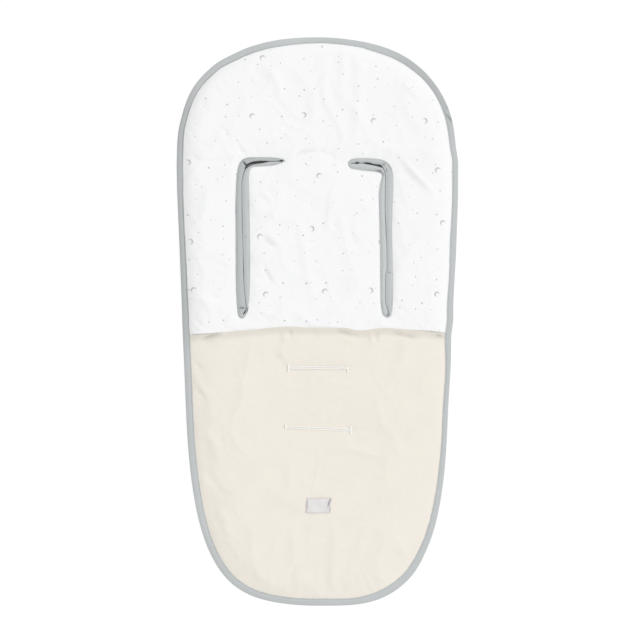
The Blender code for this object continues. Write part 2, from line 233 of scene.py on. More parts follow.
# Outlines of the harness slots' tapes, in millimetres
SLOT_TAPES = {
    "left": (
        (-112, 6.1), (-108.2, 8), (-105.6, 12.5), (-102.4, 27), (-100, 50), (-99.4, 120), (-100, 170),
        (-100.4, 200), (-100.5, 218.5), (-99.2, 227), (-95.8, 231), (-90, 232.1), (-75, 232.8),
        (-62, 234.1), (-55, 236.4), (-50, 238.5), (-45.5, 240.9), (-49, 242.5), (-53, 244),
        (-60, 245.3), (-75, 246.2), (-95, 246.2), (-104, 245.5), (-109, 243.5), (-112.5, 240.5),
        (-115.5, 235), (-118, 225), (-119.5, 210), (-120.7, 185), (-121, 160), (-120.9, 121),
        (-120.9, 60), (-119.8, 30), (-118.2, 12.5), (-116, 8),
    ),
    "right": (
        (105, 6), (109, 8), (111.4, 12.5), (113.2, 29), (113.9, 58.8), (113.5, 88.7), (112.7, 135),
        (113.6, 170), (114.8, 195), (115, 210), (114.5, 220), (112.5, 228), (110, 233), (107, 236.6),
        (102, 240), (97, 242), (90, 243.1), (80, 243.9), (70, 244.1), (60, 243.9), (53, 242.5),
        (49.5, 240.2), (48.1, 236.8), (48.5, 233), (51, 229.7), (55, 228), (65, 226.2), (75, 225),
        (85, 223.8), (91, 222.9), (95, 221.7), (97.5, 220.2), (98.2, 218), (97.2, 213), (95.3, 205),
        (93.7, 195), (93.2, 181.3), (94.4, 120.1), (94.7, 73.8), (95, 31), (97.2, 13.5), (100.5, 8.2),
    ),
}
# The slits in them: (x, y, opening) along each, in millimetres
SLITS = {
    "left": (
        (-111.2, 11, 0.4), (-108.2, 15, 0.6), (-105.8, 20.5, 0.4), (-106.2, 29, 0.2), (-107.6, 42, 0.1),
        (-109, 60, 0.2), (-109.4, 78, 0.5), (-109.6, 90, 0.3), (-110, 112, 0.1), (-110.4, 128, 0.1),
        (-111, 151, 0.3), (-111.3, 196, 0.2), (-111.3, 208, 0.2), (-110, 215.5, 0.3),
        (-108.4, 222.5, 0.4), (-106, 229, 0.56), (-104.3, 232, 0.8), (-102.8, 233.6, 0.9),
        (-99, 235.8, 0.9), (-95, 237.2, 0.9), (-90, 238.1, 0.9), (-80, 239.1, 0.75), (-70, 239.8, 0.5),
        (-57, 240.1, 0.5), (-50, 240.8, 0.8),
    ),
    "right": (
        (106.2, 13, 0.6), (105.2, 18.7, 0.3), (102.2, 30, 0.1), (102.2, 55, 0.1), (102.6, 70, 0.1),
        (104.6, 77.5, 0.1), (104.7, 94.4, 0.1), (104.4, 116, 0.1), (103.7, 130, 0.3), (103.4, 142, 0.4),
        (102.8, 153.5, 0.3), (102.4, 165, 0.2), (102.6, 193, 0.2), (103, 212, 0.2), (102.4, 221.5, 0.3),
        (100.4, 227.2, 0.4), (98.5, 230.2, 0.56), (95, 232.3, 0.9), (91, 233.2, 0.8), (85, 234.2, 0.7),
        (78, 236, 0.8), (73, 236.5, 0.7), (67, 236.6, 0.4), (60.5, 236.8, 0.8), (57, 236.4, 0.5),
        (52, 236.1, 0.56),
    ),
}
SLOT_MOVE = {"left": (-0.0008, -0.0003), "right": (-0.0013, -0.0003)}
CROTCH_SLITS = {
    "rear": ((-43.8, -68.3, 0.1), (0, -68.2, 0.1), (43.2, -68.8, 0.1)),
    "front": ((-47.3, -156, 0.1), (0, -158.4, 0.1), (46.4, -160.6, 0.1)),
}
CROTCH_EDGING = 0.0024
SLIT_STEP = 0.0016


def half_width(y):
    """Half the liner's width at y: tapering sides times a superellipse at each end."""
    shoulder_y = HEAD_Y - HEAD_ROUND
    down = np.clip((shoulder_y - y) / (shoulder_y - FOOT_Y), 0, 1)
    side = (SHOULDER_WIDTH + (FOOT_WIDTH - SHOULDER_WIDTH) * down) / 2
    into_head = np.clip((y - shoulder_y) / HEAD_ROUND, 0, 1)
    into_foot = np.clip((FOOT_Y + FOOT_ROUND - y) / FOOT_ROUND, 0, 1)
    head = (1 - into_head**HEAD_POWER) ** (1 / HEAD_POWER)
    foot = (1 - into_foot**FOOT_POWER) ** (1 / FOOT_POWER)
    return side * head * foot


def seam_line(x):
    bow = SEAM_Y - SEAM_RISE * (2 * x / SHOULDER_WIDTH) ** 2
    return bow + eased(np.asarray(x, float), SEAM_STRAY)


def lengths(route):
    """Distance along a route to each of its points."""
    return np.concatenate([[0], np.cumsum(np.linalg.norm(np.diff(route, axis=0), axis=1))])


def eased(at, stations, units=1000):
    """A smooth value between stations given as (place, value), with so many units to one."""
    place, value = (np.array(stations) / units).T
    i = np.clip(np.searchsorted(place, at) - 1, 0, len(place) - 2)
    share = np.clip((at - place[i]) / (place[i + 1] - place[i]), 0, 1)
    return value[i] + (value[i + 1] - value[i]) * share * share * (3 - 2 * share)


def inward(loop):
    """Unit normals of a closed anticlockwise loop, pointing into it."""
    ahead = np.roll(loop, -1, axis=0) - np.roll(loop, 1, axis=0)
    ahead /= np.linalg.norm(ahead, axis=1)[:, None]
    return np.column_stack([-ahead[:, 1], ahead[:, 0]])


def sewn_edge():
    """The edge as sewn, anticlockwise from the foot's middle, the tape's width and the way round."""
    turn = np.linspace(0, math.pi, 4001)
    y = (HEAD_Y + FOOT_Y) / 2 - (HEAD_Y - FOOT_Y) / 2 * np.cos(turn)
    side = np.column_stack([half_width(y), y])
    along = lengths(side)
    at = np.linspace(0, along[-1], round(along[-1] / EDGE_STEP))
    side = np.column_stack([np.interp(at, along, side[:, 0]), np.interp(at, along, side[:, 1])])
    loop = np.concatenate([side, side[-2:0:-1] * (-1, 1)])
    stray = np.concatenate([eased(at, RIGHT_STRAY), eased(at, LEFT_STRAY)[-2:0:-1]])
    width = np.concatenate([eased(at, RIGHT_TAPE), eased(at, LEFT_TAPE)[-2:0:-1]])
    around = np.concatenate([at, at[-2:0:-1]])
    return loop - inward(loop) * stray[:, None], width, around


def cut_at_seam(columns):
    """A closed loop with more columns, cut at the seam into an upper and a lower route."""
    above = columns[:, 1] > seam_line(columns[:, 0])
    first = int(np.flatnonzero(above & ~np.roll(above, 1))[0])
    columns, above = np.roll(columns, -first, axis=0), np.roll(above, -first)
    last = int(np.flatnonzero(~above)[0])
    crossings = []
    for i, j in ((len(columns) - 1, 0), (last - 1, last)):
        a, b = columns[i], columns[j]
        rise = [p[1] - seam_line(p[0]) for p in (a, b)]
        crossings.append(a + (b - a) * rise[0] / (rise[0] - rise[1]))
    halves = []
    for start, inner, end in (
        (crossings[0], columns[:last], crossings[1]),
        (crossings[1], columns[last:], crossings[0]),
    ):
        from_ends = [np.linalg.norm(inner[:, :2] - place[:2], axis=1) for place in (start, end)]
        inner = inner[np.minimum(*from_ends) > CLEAR_OF_END * EDGE_STEP]
        halves.append(np.concatenate([[start], inner, [end]]))
    return halves


def on_seam(route):
    """The route with its two ends moved onto the seam."""
    route = route.copy()
    route[[0, -1], 1] = seam_line(route[[0, -1], 0])
    return route


def curve_through(points, step, closed):
    """A smooth curve through points with any number of columns, evenly spaced."""
    p = np.array(points, float)
    if closed:
        p = np.concatenate([p[-1:], p, p[:2]])
    else:
        p = np.concatenate([2 * p[:1] - p[1:2], p, 2 * p[-1:] - p[-2:-1]])
    t = np.linspace(0, 1, 24, endpoint=False)[:, None]
    spans = []
    for a, b, c, d in zip(p[:-3], p[1:-2], p[2:-1], p[3:]):
        bend = 2 * a - 5 * b + 4 * c - d
        spans.append(0.5 * (2 * b + (c - a) * t + bend * t**2 + (3 * b - a - 3 * c + d) * t**3))
    fine = np.concatenate([*spans, p[-2:-1]])
    along = lengths(fine[:, :2])
    count = max(3, round(along[-1] / step))
    at = np.linspace(0, along[-1], count + 1)[: count if closed else None]
    return np.column_stack([np.interp(at, along, column) for column in fine.T])


def placed(points, side, units=1000):
    """Points of a harness slot in metres, moved to where the slot lies on the liner."""
    moved = np.array(points) / units
    moved[:, :2] += SLOT_MOVE[side]
    return moved


def slit_loop(points):
    """Anticlockwise loop round a slit given as points (x, y, opening)."""
    route = curve_through(points, SLIT_STEP, False)
    line, opening = route[:, :2], route[:, 2:]
    ahead = np.gradient(line, axis=0)
    ahead /= np.linalg.norm(ahead, axis=1)[:, None]
    left = np.column_stack([-ahead[:, 1], ahead[:, 0]])
    one, other = line - left * opening / 2, line + left * opening / 2
    return np.concatenate([one, other[-2:0:-1]])


def distance_to(points, route, closed):
    """Distance of each point to the nearest stretch of a route."""
    starts = route if closed else route[:-1]
    ends = np.roll(route, -1, axis=0) if closed else route[1:]
    nearest = np.full(len(points), np.inf)
    for a, b in zip(starts, ends):
        along = b - a
        share = np.clip((points - a) @ along / max(along @ along, 1e-18), 0, 1)
        away = points - a - share[:, None] * along
        nearest = np.minimum(nearest, (away * away).sum(axis=1))
    return np.sqrt(nearest)


def inside(points, loop):
    """Whether each point lies in a closed loop."""
    x, y = points[:, 0], points[:, 1]
    crossings = np.zeros(len(points), int)
    for (x1, y1), (x2, y2) in zip(loop, np.roll(loop, -1, axis=0)):
        if y1 != y2:
            hit = ((y1 > y) != (y2 > y)) & (x < (x2 - x1) * (y - y1) / (y2 - y1) + x1)
            crossings += hit
    return crossings % 2 == 1


def grown(loop, distance):
    """An anticlockwise loop moved outwards, without the tangles of its tight corners."""
    moved = loop - inward(loop) * distance
    return moved[distance_to(moved, loop, True) > UNTANGLED * abs(distance)]


def joined(routes):
    """All points of routes given as (points, closed), and the edges along them."""
    points, edges = [], []
    for route, closed in routes:
        first, count = len(points), len(route)
        points += list(route)
        edges += [(first + i, first + i + 1) for i in range(count - 1)]
        if closed:
            edges.append((first + count - 1, first))
    return points, edges


def spread(flat, triangles):
    """The cross product of two sides of each triangle, twice its signed area."""
    one, two = (flat[triangles[:, i]] - flat[triangles[:, 0]] for i in (1, 2))
    return one[:, 0] * two[:, 1] - one[:, 1] * two[:, 0]


def flat_cut(outline, openings, rings, lines, step, near=0.45):
    """Flat triangles of a cloth: its outline, its openings, and rings and lines to follow."""
    routes = [(loop, True) for loop in (outline, *openings, *rings)]
    routes += [(line, False) for line in lines]
    low, high = outline.min(axis=0), outline.max(axis=0)
    rows = np.arange(low[1], high[1], step * math.sqrt(3) / 2)
    columns = np.arange(low[0], high[0], step)
    grid = np.array([(x + step / 2 * (i % 2), y) for i, y in enumerate(rows) for x in columns])
    grid = grid[inside(grid, outline)]
    for route, closed in routes:
        grid = grid[distance_to(grid, route, closed) > step * near]
    for loop in openings:
        grid = grid[~inside(grid, loop)]
    points, edges = joined(routes)
    in_mm = [Vector(point) * 1000 for point in [*points, *grid]]
    found, _, triangles, *_ = delaunay_2d_cdt(in_mm, edges, [], 0, 1e-4)
    flat = np.array([tuple(point) for point in found]) / 1000
    triangles = np.array(triangles)
    middles = flat[triangles].mean(axis=1)
    keep = inside(middles, outline)
    for loop in openings:
        keep &= ~inside(middles, loop)
    used, triangles = np.unique(triangles[keep], return_inverse=True)
    flat, triangles = flat[used], triangles.reshape(-1, 3)
    clockwise = spread(flat, triangles) < 0
    triangles[clockwise] = triangles[clockwise][:, ::-1]
    return flat, triangles


def swell(distance, run, power=2.4):
    """0 at a sewn line, rising fast and then levelling out to 1 at the end of the run."""
    return 1 - (1 - np.clip(distance / run, 0, 1)) ** power


def ripple(points, size, seed):
    """Smooth noise from -1 to 1 at flat points, with features of about a size."""
    return np.array([noise.noise(Vector((x / size, y / size, seed))) for x, y in points[:, :2]])


def read_all(things, name, width=1, kind=float):
    """One value of all the points, corners or edges of a mesh, with so many numbers to each."""
    values = np.zeros(len(things) * width, kind)
    things.foreach_get(name, values)
    return values.reshape(-1, width) if width > 1 else values


def add_mesh(name, points, faces, flat, material):
    """A mesh object at the origin whose UV map holds the flat cut, in metres."""
    mesh = bpy.data.meshes.new(name)
    mesh.from_pydata([tuple(p) for p in points], [], [tuple(map(int, f)) for f in faces])
    layer = mesh.uv_layers.new(name="cut")
    corners = read_all(mesh.loops, "vertex_index", kind=np.int32)
    layer.data.foreach_set("uv", np.asarray(flat, np.float32)[corners].ravel())
    mesh.shade_smooth()
    mesh.materials.append(material)
    piece = bpy.data.objects.new(name, mesh)
    bpy.context.scene.collection.objects.link(piece)
    return piece


def add_subdivision(piece):
    """One level of subdivision that keeps the corners of a cut edge."""
    finer = piece.modifiers.new("finer", "SUBSURF")
    finer.levels = finer.render_levels = 1
    finer.boundary_smooth = "PRESERVE_CORNERS"
    finer.use_limit_surface = False
    return finer


def add_thickness(piece, thickness, subdivided=True):
    """Makes a cloth of faces as thick as it is, with a crisp cut edge."""
    mesh = piece.data
    used = read_all(mesh.loops, "edge_index", kind=np.int32)
    crisp = mesh.attributes.get("sharp_edge") or mesh.attributes.new("sharp_edge", "BOOLEAN", "EDGE")
    crisp.data.foreach_set("value", np.bincount(used, minlength=len(mesh.edges)) == 1)
    if subdivided:
        add_subdivision(piece)
    wall = piece.modifiers.new("thickness", "SOLIDIFY")
    wall.thickness = thickness
    wall.offset = -1


def bend_with(piece, part):
    """Bakes a piece's placing into its mesh, alike for upper and lower pieces."""
    if part == "upper":
        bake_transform(piece)
    else:
        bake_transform(piece)


def new_material(name, inputs):
    """A material whose shader has these inputs, with its tree and its shader."""
    made = bpy.data.materials.new(name)
    made.use_nodes = True
    shader = made.node_tree.nodes["Principled BSDF"]
    for kind, value in inputs.items():
        shader.inputs[kind].default_value = value
    return made, made.node_tree, shader


def add_relief(tree, height, strength, distance):
    """Lets the surface of a material follow a height."""
    bump = node(tree, "ShaderNodeBump", {"Height": height, "Strength": strength, "Distance": distance})
    tree.links.new(bump.outputs[0], tree.nodes["Principled BSDF"].inputs["Normal"])


def scaled(tree, vector, share):
    made = node(tree, "ShaderNodeVectorMath", {0: vector, "Scale": share}, operation="SCALE")
    return made.outputs[0]


def cloth_material(name, colour, fleck, weave=0.00042, relief=0.6):
    """Woven cotton: crossing threads, slubs, and a faint unevenness of its colour."""
    matt = {"Roughness": 0.92, "Specular IOR Level": 0.12, "Sheen Weight": 0.06, "Sheen Roughness": 0.6}
    made, tree, shader = new_material(name, matt)
    cut = node(tree, "ShaderNodeUVMap", uv_map="cut")
    flat = node(tree, "ShaderNodeSeparateXYZ", {0: cut}).outputs
    turned = [math_node(tree, "MULTIPLY", flat[axis], 2 * math.pi / weave) for axis in (0, 1)]
    woven = math_node(tree, "MULTIPLY", *(math_node(tree, "SINE", angle) for angle in turned))
    slubs = node(tree, "ShaderNodeTexNoise", {0: cut, "Scale": 420, "Detail": 3, "Roughness": 0.6})
    mottle = node(tree, "ShaderNodeTexNoise", {0: cut, "Scale": 28, "Detail": 4, "Roughness": 0.55})
    height = math_node(tree, "MULTIPLY_ADD", woven, 0.35, slubs)
    add_relief(tree, height, relief, 0.00012)
    uneven = math_node(tree, "SUBTRACT", mottle, 0.5)
    speck = math_node(tree, "SUBTRACT", slubs, 0.5)
    shade = math_node(tree, "MULTIPLY_ADD", uneven, 0.10 * fleck, 1.0)
    shade = math_node(tree, "MULTIPLY_ADD", speck, 0.22 * fleck, shade)
    tree.links.new(scaled(tree, colour, shade), shader.inputs["Base Color"])
    return made


edge, tape_width, way_round = sewn_edge()
upper_edge, lower_edge = cut_at_seam(np.column_stack([edge, inward(edge), tape_width, way_round]))
slot_tapes = {
    side: curve_through(placed(tape, side), SLIT_STEP, True) for side, tape in SLOT_TAPES.items()
}
slit_lines = {side: placed(slit, side) for side, slit in SLITS.items()}
slot_slits = {side: slit_loop(line) for side, line in slit_lines.items()}
crotch_slits = {place: slit_loop(np.array(slit) / 1000) for place, slit in CROTCH_SLITS.items()}
half_edges = {"upper": upper_edge, "lower": lower_edge}


def seam_route(start_x, end_x):
    """Points along the seam between two places across the liner."""
    x = np.linspace(start_x, end_x, max(3, round(abs(end_x - start_x) / CLOTH_STEP) + 1))
    return np.column_stack([x, seam_line(x)])


def half_pattern(part, inset):
    """Closed outline of the upper or the lower half, an inset inside the sewn edge."""
    route = half_edges[part]
    route = on_seam(route[:, :2] + route[:, 2:4] * inset)
    across = seam_route(route[-1, 0], route[0, 0])[1:-1]
    return np.concatenate([route, across])


def tape_line(part):
    """Line along the inner edge of the edge tape."""
    route = half_edges[part]
    return on_seam(route[:, :2] + route[:, 2:4] * route[:, 4:5])


openings = {"upper": list(slot_slits.values()), "lower": list(crotch_slits.values())}
bound_areas = {
    "upper": list(slot_tapes.values()),
    "lower": [grown(loop, CROTCH_EDGING) for loop in crotch_slits.values()],
}
cloth_openings = {
    part: [grown(loop, OPENING_TURN[part]) for loop in loops] for part, loops in openings.items()
}


def within_tape(flat, part):
    """Whether points lie inside the edge tape, also those on the seam itself."""
    line = tape_line(part)
    past_seam = {"upper": (0, -0.05), "lower": (0, 0.05)}[part]
    return inside(flat, np.concatenate([line, line[[-1, 0]] + past_seam]))


def past_tape(flat, part):
    """Distance inwards from the edge tape, and 0 where points lie under it."""
    away = distance_to(flat, tape_line(part), False)
    away[~within_tape(flat, part)] = 0
    return away


def outside(flat, area):
    """Distance to a closed area, and 0 inside it."""
    away = distance_to(flat, area, True)
    away[inside(flat, area)] = 0
    return away


def underside(flat, part):
    """Height of the liner's underside: raised where tape lies under it."""
    full = swell(past_tape(flat, part), UNDER_SWELL)
    for area in bound_areas[part]:
        full *= swell(outside(flat, area), UNDER_SWELL)
    return SEWN_BASE * (1 - full)


BACK_COTTON = (0.83, 0.80, 0.74)
back_cotton = cloth_material("back_cotton", BACK_COTTON, 1.0)
for part, replaced in (("upper", ["back_upper_panel"]), ("lower", ["back_seat_panel", "back_leg_panel"])):
    lines = [tape_line(part)]
    flat, triangles = flat_cut(half_pattern(part, EDGE_TURN), cloth_openings[part], [], lines, BACK_STEP)
    lumps = np.maximum(ripple(flat, 0.030, 3.1) + 0.4 * ripple(flat, 0.011, 7.7), 0)
    clear = swell(distance_to(flat, tape_line(part), False), UNDER_SWELL)
    height = underside(flat, part) + UNDER_LUMPS * lumps * clear
    points = np.column_stack([flat, height])
    back = add_mesh(f"back_cloth_{part}", points, triangles[:, ::-1], flat, back_cotton)
    add_thickness(back, CLOTH)
    bend_with(back, part)
    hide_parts(*replaced)
    area = float(spread(flat, triangles).sum() / 2)


# The wadding. One pad of soft polyester fibre between the cloths, open at the slots. It is
# squeezed flat where the tapes are sewn through it, so it swells up between them.
WADDING_STEP = 0.0075
BENDS = {"upper": (SEAM_Y, FOLD_UP_TO), "lower": (LEG_Y - LEG_BEND, LEG_Y + LEG_BEND)}
BEND_CLEAR = 0.0032  # above the underside where the liner bends, so that it keeps inside the cloth
BEND_MORE = 0.010  # so far past each end of the bend too
EDGE_SHARE, EDGE_ROUND = 0.36, 0.0055  # the lower face rises fast from the tape by this share
EDGE_SWELL = {"upper": (0.016, 2.0), "lower": (0.075, 1.8)}  # the run and its power
SLOT_SWELL, CROTCH_SWELL = 0.026, 0.016
SLOT_DEPTH, CROTCH_DEPTH = 0.12, 0.06  # shares of the full depth that stitching pulls down
SEAM_DROP, SEAM_RUN = 0.0020, 0.011  # the ecru cloth lies lower below the turned seam
SEAM_RISES = 0.070  # and rises again over this run
UNDER_CLOTH, UNDER_SEWN = 0.0026, 0.0009  # from the front cloth's pattern to the wadding
EDGE_SLOPE = 0.17  # of the edge tape, which lies lower at the outside


def face_height(flat, part):
    """Height of the front cloth before it is stretched over the wadding."""
    away = past_tape(flat, part)
    full = swell(away, *EDGE_SWELL[part])
    if part == "lower":
        full += EDGE_SHARE * (1 - np.exp(-away / EDGE_ROUND) - full)
    depth, run = {"upper": (SLOT_DEPTH, SLOT_SWELL), "lower": (CROTCH_DEPTH, CROTCH_SWELL)}[part]
    for area in bound_areas[part]:
        full *= 1 - depth * (1 - swell(outside(flat, area), run, 1.8))
    below = np.clip(seam_line(flat[:, 0]) - flat[:, 1], 0, None)
    drop = SEAM_DROP * swell(below, SEAM_RUN, 1.6) * (1 - swell(below - SEAM_RUN, SEAM_RISES, 1.6))
    into_tape = distance_to(flat, tape_line(part), False)
    into_tape[within_tape(flat, part)] = 0
    return SEWN_FACE - EDGE_SLOPE * into_tape + (FULL_FACE - SEWN_FACE - drop) * full


def border_of(triangles):
    """Edges with one triangle only, in their triangle's direction."""
    sides = dict.fromkeys(
        side for a, b, c in triangles.tolist() for side in ((a, b), (b, c), (c, a))
    )
    return [side for side in sides if side[::-1] not in sides]


def both_faces(flat, top, bottom):
    """Points of an upper face and then of a lower one over the same flat cut."""
    return np.column_stack([np.tile(flat, (2, 1)), np.concatenate([top, bottom])])


fibre, tree, shader = new_material("wadding", {"Roughness": 1.0})
cut = node(tree, "ShaderNodeUVMap", uv_map="cut")
tangle = node(tree, "ShaderNodeTexNoise", {"Vector": cut, "Scale": 160, "Detail": 6})
tone = node(tree, "ShaderNodeMapRange", {"Value": tangle, "To Min": 0.82, "To Max": 0.94})
tree.links.new(tone.outputs[0], shader.inputs["Base Color"])
add_relief(tree, tangle, 1.0, 0.0006)

for part, replaced in (("upper", ["wadding_upper"]), ("lower", ["wadding_seat", "wadding_leg"])):
    pattern, rings, lines = half_pattern(part, 2 * EDGE_TURN), bound_areas[part], [tape_line(part)]
    holes = [grown(loop, OPENING_TURN[part] + EDGE_TURN) for loop in openings[part]]
    flat, triangles = flat_cut(pattern, holes, rings, lines, WADDING_STEP)
    face = face_height(flat, part)
    loose = np.clip((face - SEWN_FACE) / 0.003, 0, 1)
    top = face - UNDER_SEWN - (UNDER_CLOTH - UNDER_SEWN) * loose
    low_y, high_y = BENDS[part]
    bending = (flat[:, 1] > low_y - BEND_MORE) & (flat[:, 1] < high_y + BEND_MORE)
    clear_of_back = np.where(bending, BEND_CLEAR, 2 * CLOTH)
    bottom = np.minimum(underside(flat, part) + clear_of_back, top - CLOTH)
    count = len(flat)
    faces = [*triangles, *(triangles[:, ::-1] + count)]
    faces += [(b, a, a + count, b + count) for a, b in border_of(triangles)]
    points = both_faces(flat, top, bottom)
    pad = add_mesh(f"wadding_pad_{part}", points, faces, np.tile(flat, (2, 1)), fibre)
    bend_with(pad, part)
    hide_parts(*replaced)

# The front cloths. The backrest half is white printed cotton and the seat half unbleached
# cotton, joined by a plain seam. Both are a little wider than the shape that they are sewn
# down to, so the wadding pushes them up into soft puckers.
PUFF_FRAMES = 22
PUFF_PUSH = 4.0
PUFF_UP, PUFF_DOWN, PUFF_ASIDE = 0.0012, 0.0006, 0.0010  # furthest that a point may move
LOOSE = {"upper": 0.0020, "lower": 0.0012}  # share by which the cloth is too wide
COTTON_GIVES = {
    "quality": 6, "mass": 0.15, "tension_stiffness": 12, "compression_stiffness": 12,
    "shear_stiffness": 6, "bending_stiffness": 1.5, "tension_damping": 8, "compression_damping": 8,
    "shear_damping": 8, "air_damping": 2, "pin_stiffness": 0.6, "use_pressure": True,
}
HARDLY_HELD = 0.02  # pinning of the cloth between its seams
LOWEST_CREASE = -0.0018
CLEAR_OF_TAPE, CLEAR_OF_SLOT, CLEAR_OF_SEAM = 0.012, 0.010, 0.0035  # runs that creases fade over
BY_SEAM, BY_SLOT = 0.0015, 0.0002  # the cloth is held as near as this to its seams
CREASE_SHADE, CREASE_DARK = 0.10, 0.0012  # light lost in a crease of this depth
# Painted shade: cloth that leans towards the lamp is darkened again by part of the light that it gains
HIGHLIGHTS = 0.6  # share of the light gained by leaning to the lamp that pale cloth gives up
UNDER_SEAM = 0.11  # share of the light lost where the ecru cloth dips below the seam
DIP_END, DIP_RUN = 0.015, 0.010  # where that ends, and over what run
# Tight folds below the seam: (x, y, share of the light lost, half-width) along each, where the
# lengths are in millimetres
SHADED = (1000, 1000, 1, 1000)  # units of such points to a metre or to the whole
SEAM_FOLDS = (
    ((-176, -26.2, 0.06, 2.8), (-164, -21.2, 0.12, 2.6), (-156, -18.8, 0.18, 2.5),
     (-148, -17.4, 0.17, 2.5), (-140, -16.8, 0.06, 2.5)),
    ((106, -16, 0.03, 2.8), (125, -19.6, 0.08, 2.8), (145, -23.6, 0.05, 2.8)),
    ((174, -20.5, 0.04, 2.5), (181.5, -21.5, 0.12, 2.5), (189, -22.8, 0.05, 2.5)),
)
WHITE_COTTON = (0.950, 0.952, 0.954)
ECRU_COTTON = (0.880, 0.832, 0.752)


def stretch_over(piece, sewn, loose):
    """Lets the cloth swell from where it is sewn down, and gives its new points."""
    scene = bpy.context.scene
    group = piece.vertex_groups.new(name="sewn")
    for value in np.unique(sewn):
        group.add(np.flatnonzero(sewn == value).tolist(), float(value), "REPLACE")
    cloth = piece.modifiers.new("cloth", "CLOTH")
    settings = cloth.settings
    for kind, value in COTTON_GIVES.items():
        setattr(settings, kind, value)
    settings.vertex_group_mass = group.name
    settings.shrink_min = -loose
    settings.uniform_pressure_force = PUFF_PUSH
    settings.effector_weights.gravity = 0
    cloth.point_cache.frame_start = 1
    cloth.point_cache.frame_end = PUFF_FRAMES
    for moment in range(1, PUFF_FRAMES + 1):
        scene.frame_set(moment)
    shown = piece.evaluated_get(bpy.context.evaluated_depsgraph_get())
    points = np.array([tuple(v.co) for v in shown.data.vertices])
    piece.modifiers.remove(cloth)
    piece.vertex_groups.clear()
    return points


def subdivide(piece):
    """Gives a piece one level of subdivision for good, with its new points and flat cut."""
    finer = add_subdivision(piece)
    shown = piece.evaluated_get(bpy.context.evaluated_depsgraph_get())
    mesh = bpy.data.meshes.new_from_object(shown)
    piece.modifiers.remove(finer)
    piece.data = mesh
    corners = read_all(mesh.loops, "vertex_index", kind=np.int32)
    flat = np.zeros((len(mesh.vertices), 2))
    flat[corners] = read_all(mesh.uv_layers["cut"].data, "uv", 2)
    return read_all(mesh.vertices, "co", 3), flat


def note_shade(piece, shade):
    """Notes on a piece what share of the light is lost at each of its points."""
    kept = piece.data.attributes.new("shade", "FLOAT", "POINT")
    kept.data.foreach_set("value", np.asarray(shade, np.float32))


def darken(made, light):
    """Multiplies a material's colour by the share of the light that it gets."""
    tree = made.node_tree
    colour = tree.nodes["Principled BSDF"].inputs["Base Color"]
    plain = colour.links[0].from_socket if colour.links else tuple(colour.default_value)[:3]
    tree.links.new(scaled(tree, plain, light), colour)


def shade_as_noted(made):
    """Darkens a cloth where little light gets into its small folds."""
    shade = node(made.node_tree, "ShaderNodeAttribute", attribute_name="shade").outputs["Fac"]
    darken(made, math_node(made.node_tree, "SUBTRACT", 1.0, shade))


def creased(flat, creases, units=1000):
    """Heights of creases: points (x, y, height, half-width) along each, fading to its ends."""
    total = np.zeros(len(flat))
    for points in creases:
        points = np.array(points) / units
        step = min(0.004, points[:, 3].min() / 2)
        route = curve_through(points, step, False)
        along = lengths(route[:, :2])
        fade = np.sin(np.pi * np.clip(along / along[-1], 0, 1)) ** 0.6
        reach = 3 * route[:, 3].max()
        low, high = route[:, :2].min(axis=0) - reach, route[:, :2].max(axis=0) + reach
        near = np.flatnonzero(((flat > low) & (flat < high)).all(axis=1))
        away = np.linalg.norm(flat[near, None] - route[None, :, :2], axis=2)
        closest = away.argmin(axis=1)
        away = away[np.arange(len(near)), closest]
        ridge = np.exp(-((away / route[closest, 3]) ** 2))
        total[near] += route[closest, 2] * fade[closest] * ridge
    return total


def scattered(tree, cut, cell, disorder, shift):
    """From the nearest of many scattered places: the way there, and three chances."""
    place = vector_node(tree, "MULTIPLY_ADD", cut, (1 / cell,) * 3, shift)
    near = {"Vector": place, "Scale": 1.0, "Randomness": disorder}
    cells = node(tree, "ShaderNodeTexVoronoi", near, voronoi_dimensions="2D").outputs
    way = vector_node(tree, "SUBTRACT", place, cells["Position"])
    chances = node(tree, "ShaderNodeSeparateColor", {0: cells["Color"]}).outputs
    return scaled(tree, way, cell), chances


def span(tree, value, start, end, at_start, at_end):
    """A smooth step between two values, from one result to another."""
    ends = {"From Min": start, "From Max": end, "To Min": at_start, "To Max": at_end}
    made = node(tree, "ShaderNodeMapRange", {"Value": value, **ends}, interpolation_type="SMOOTHSTEP")
    return made.outputs[0]


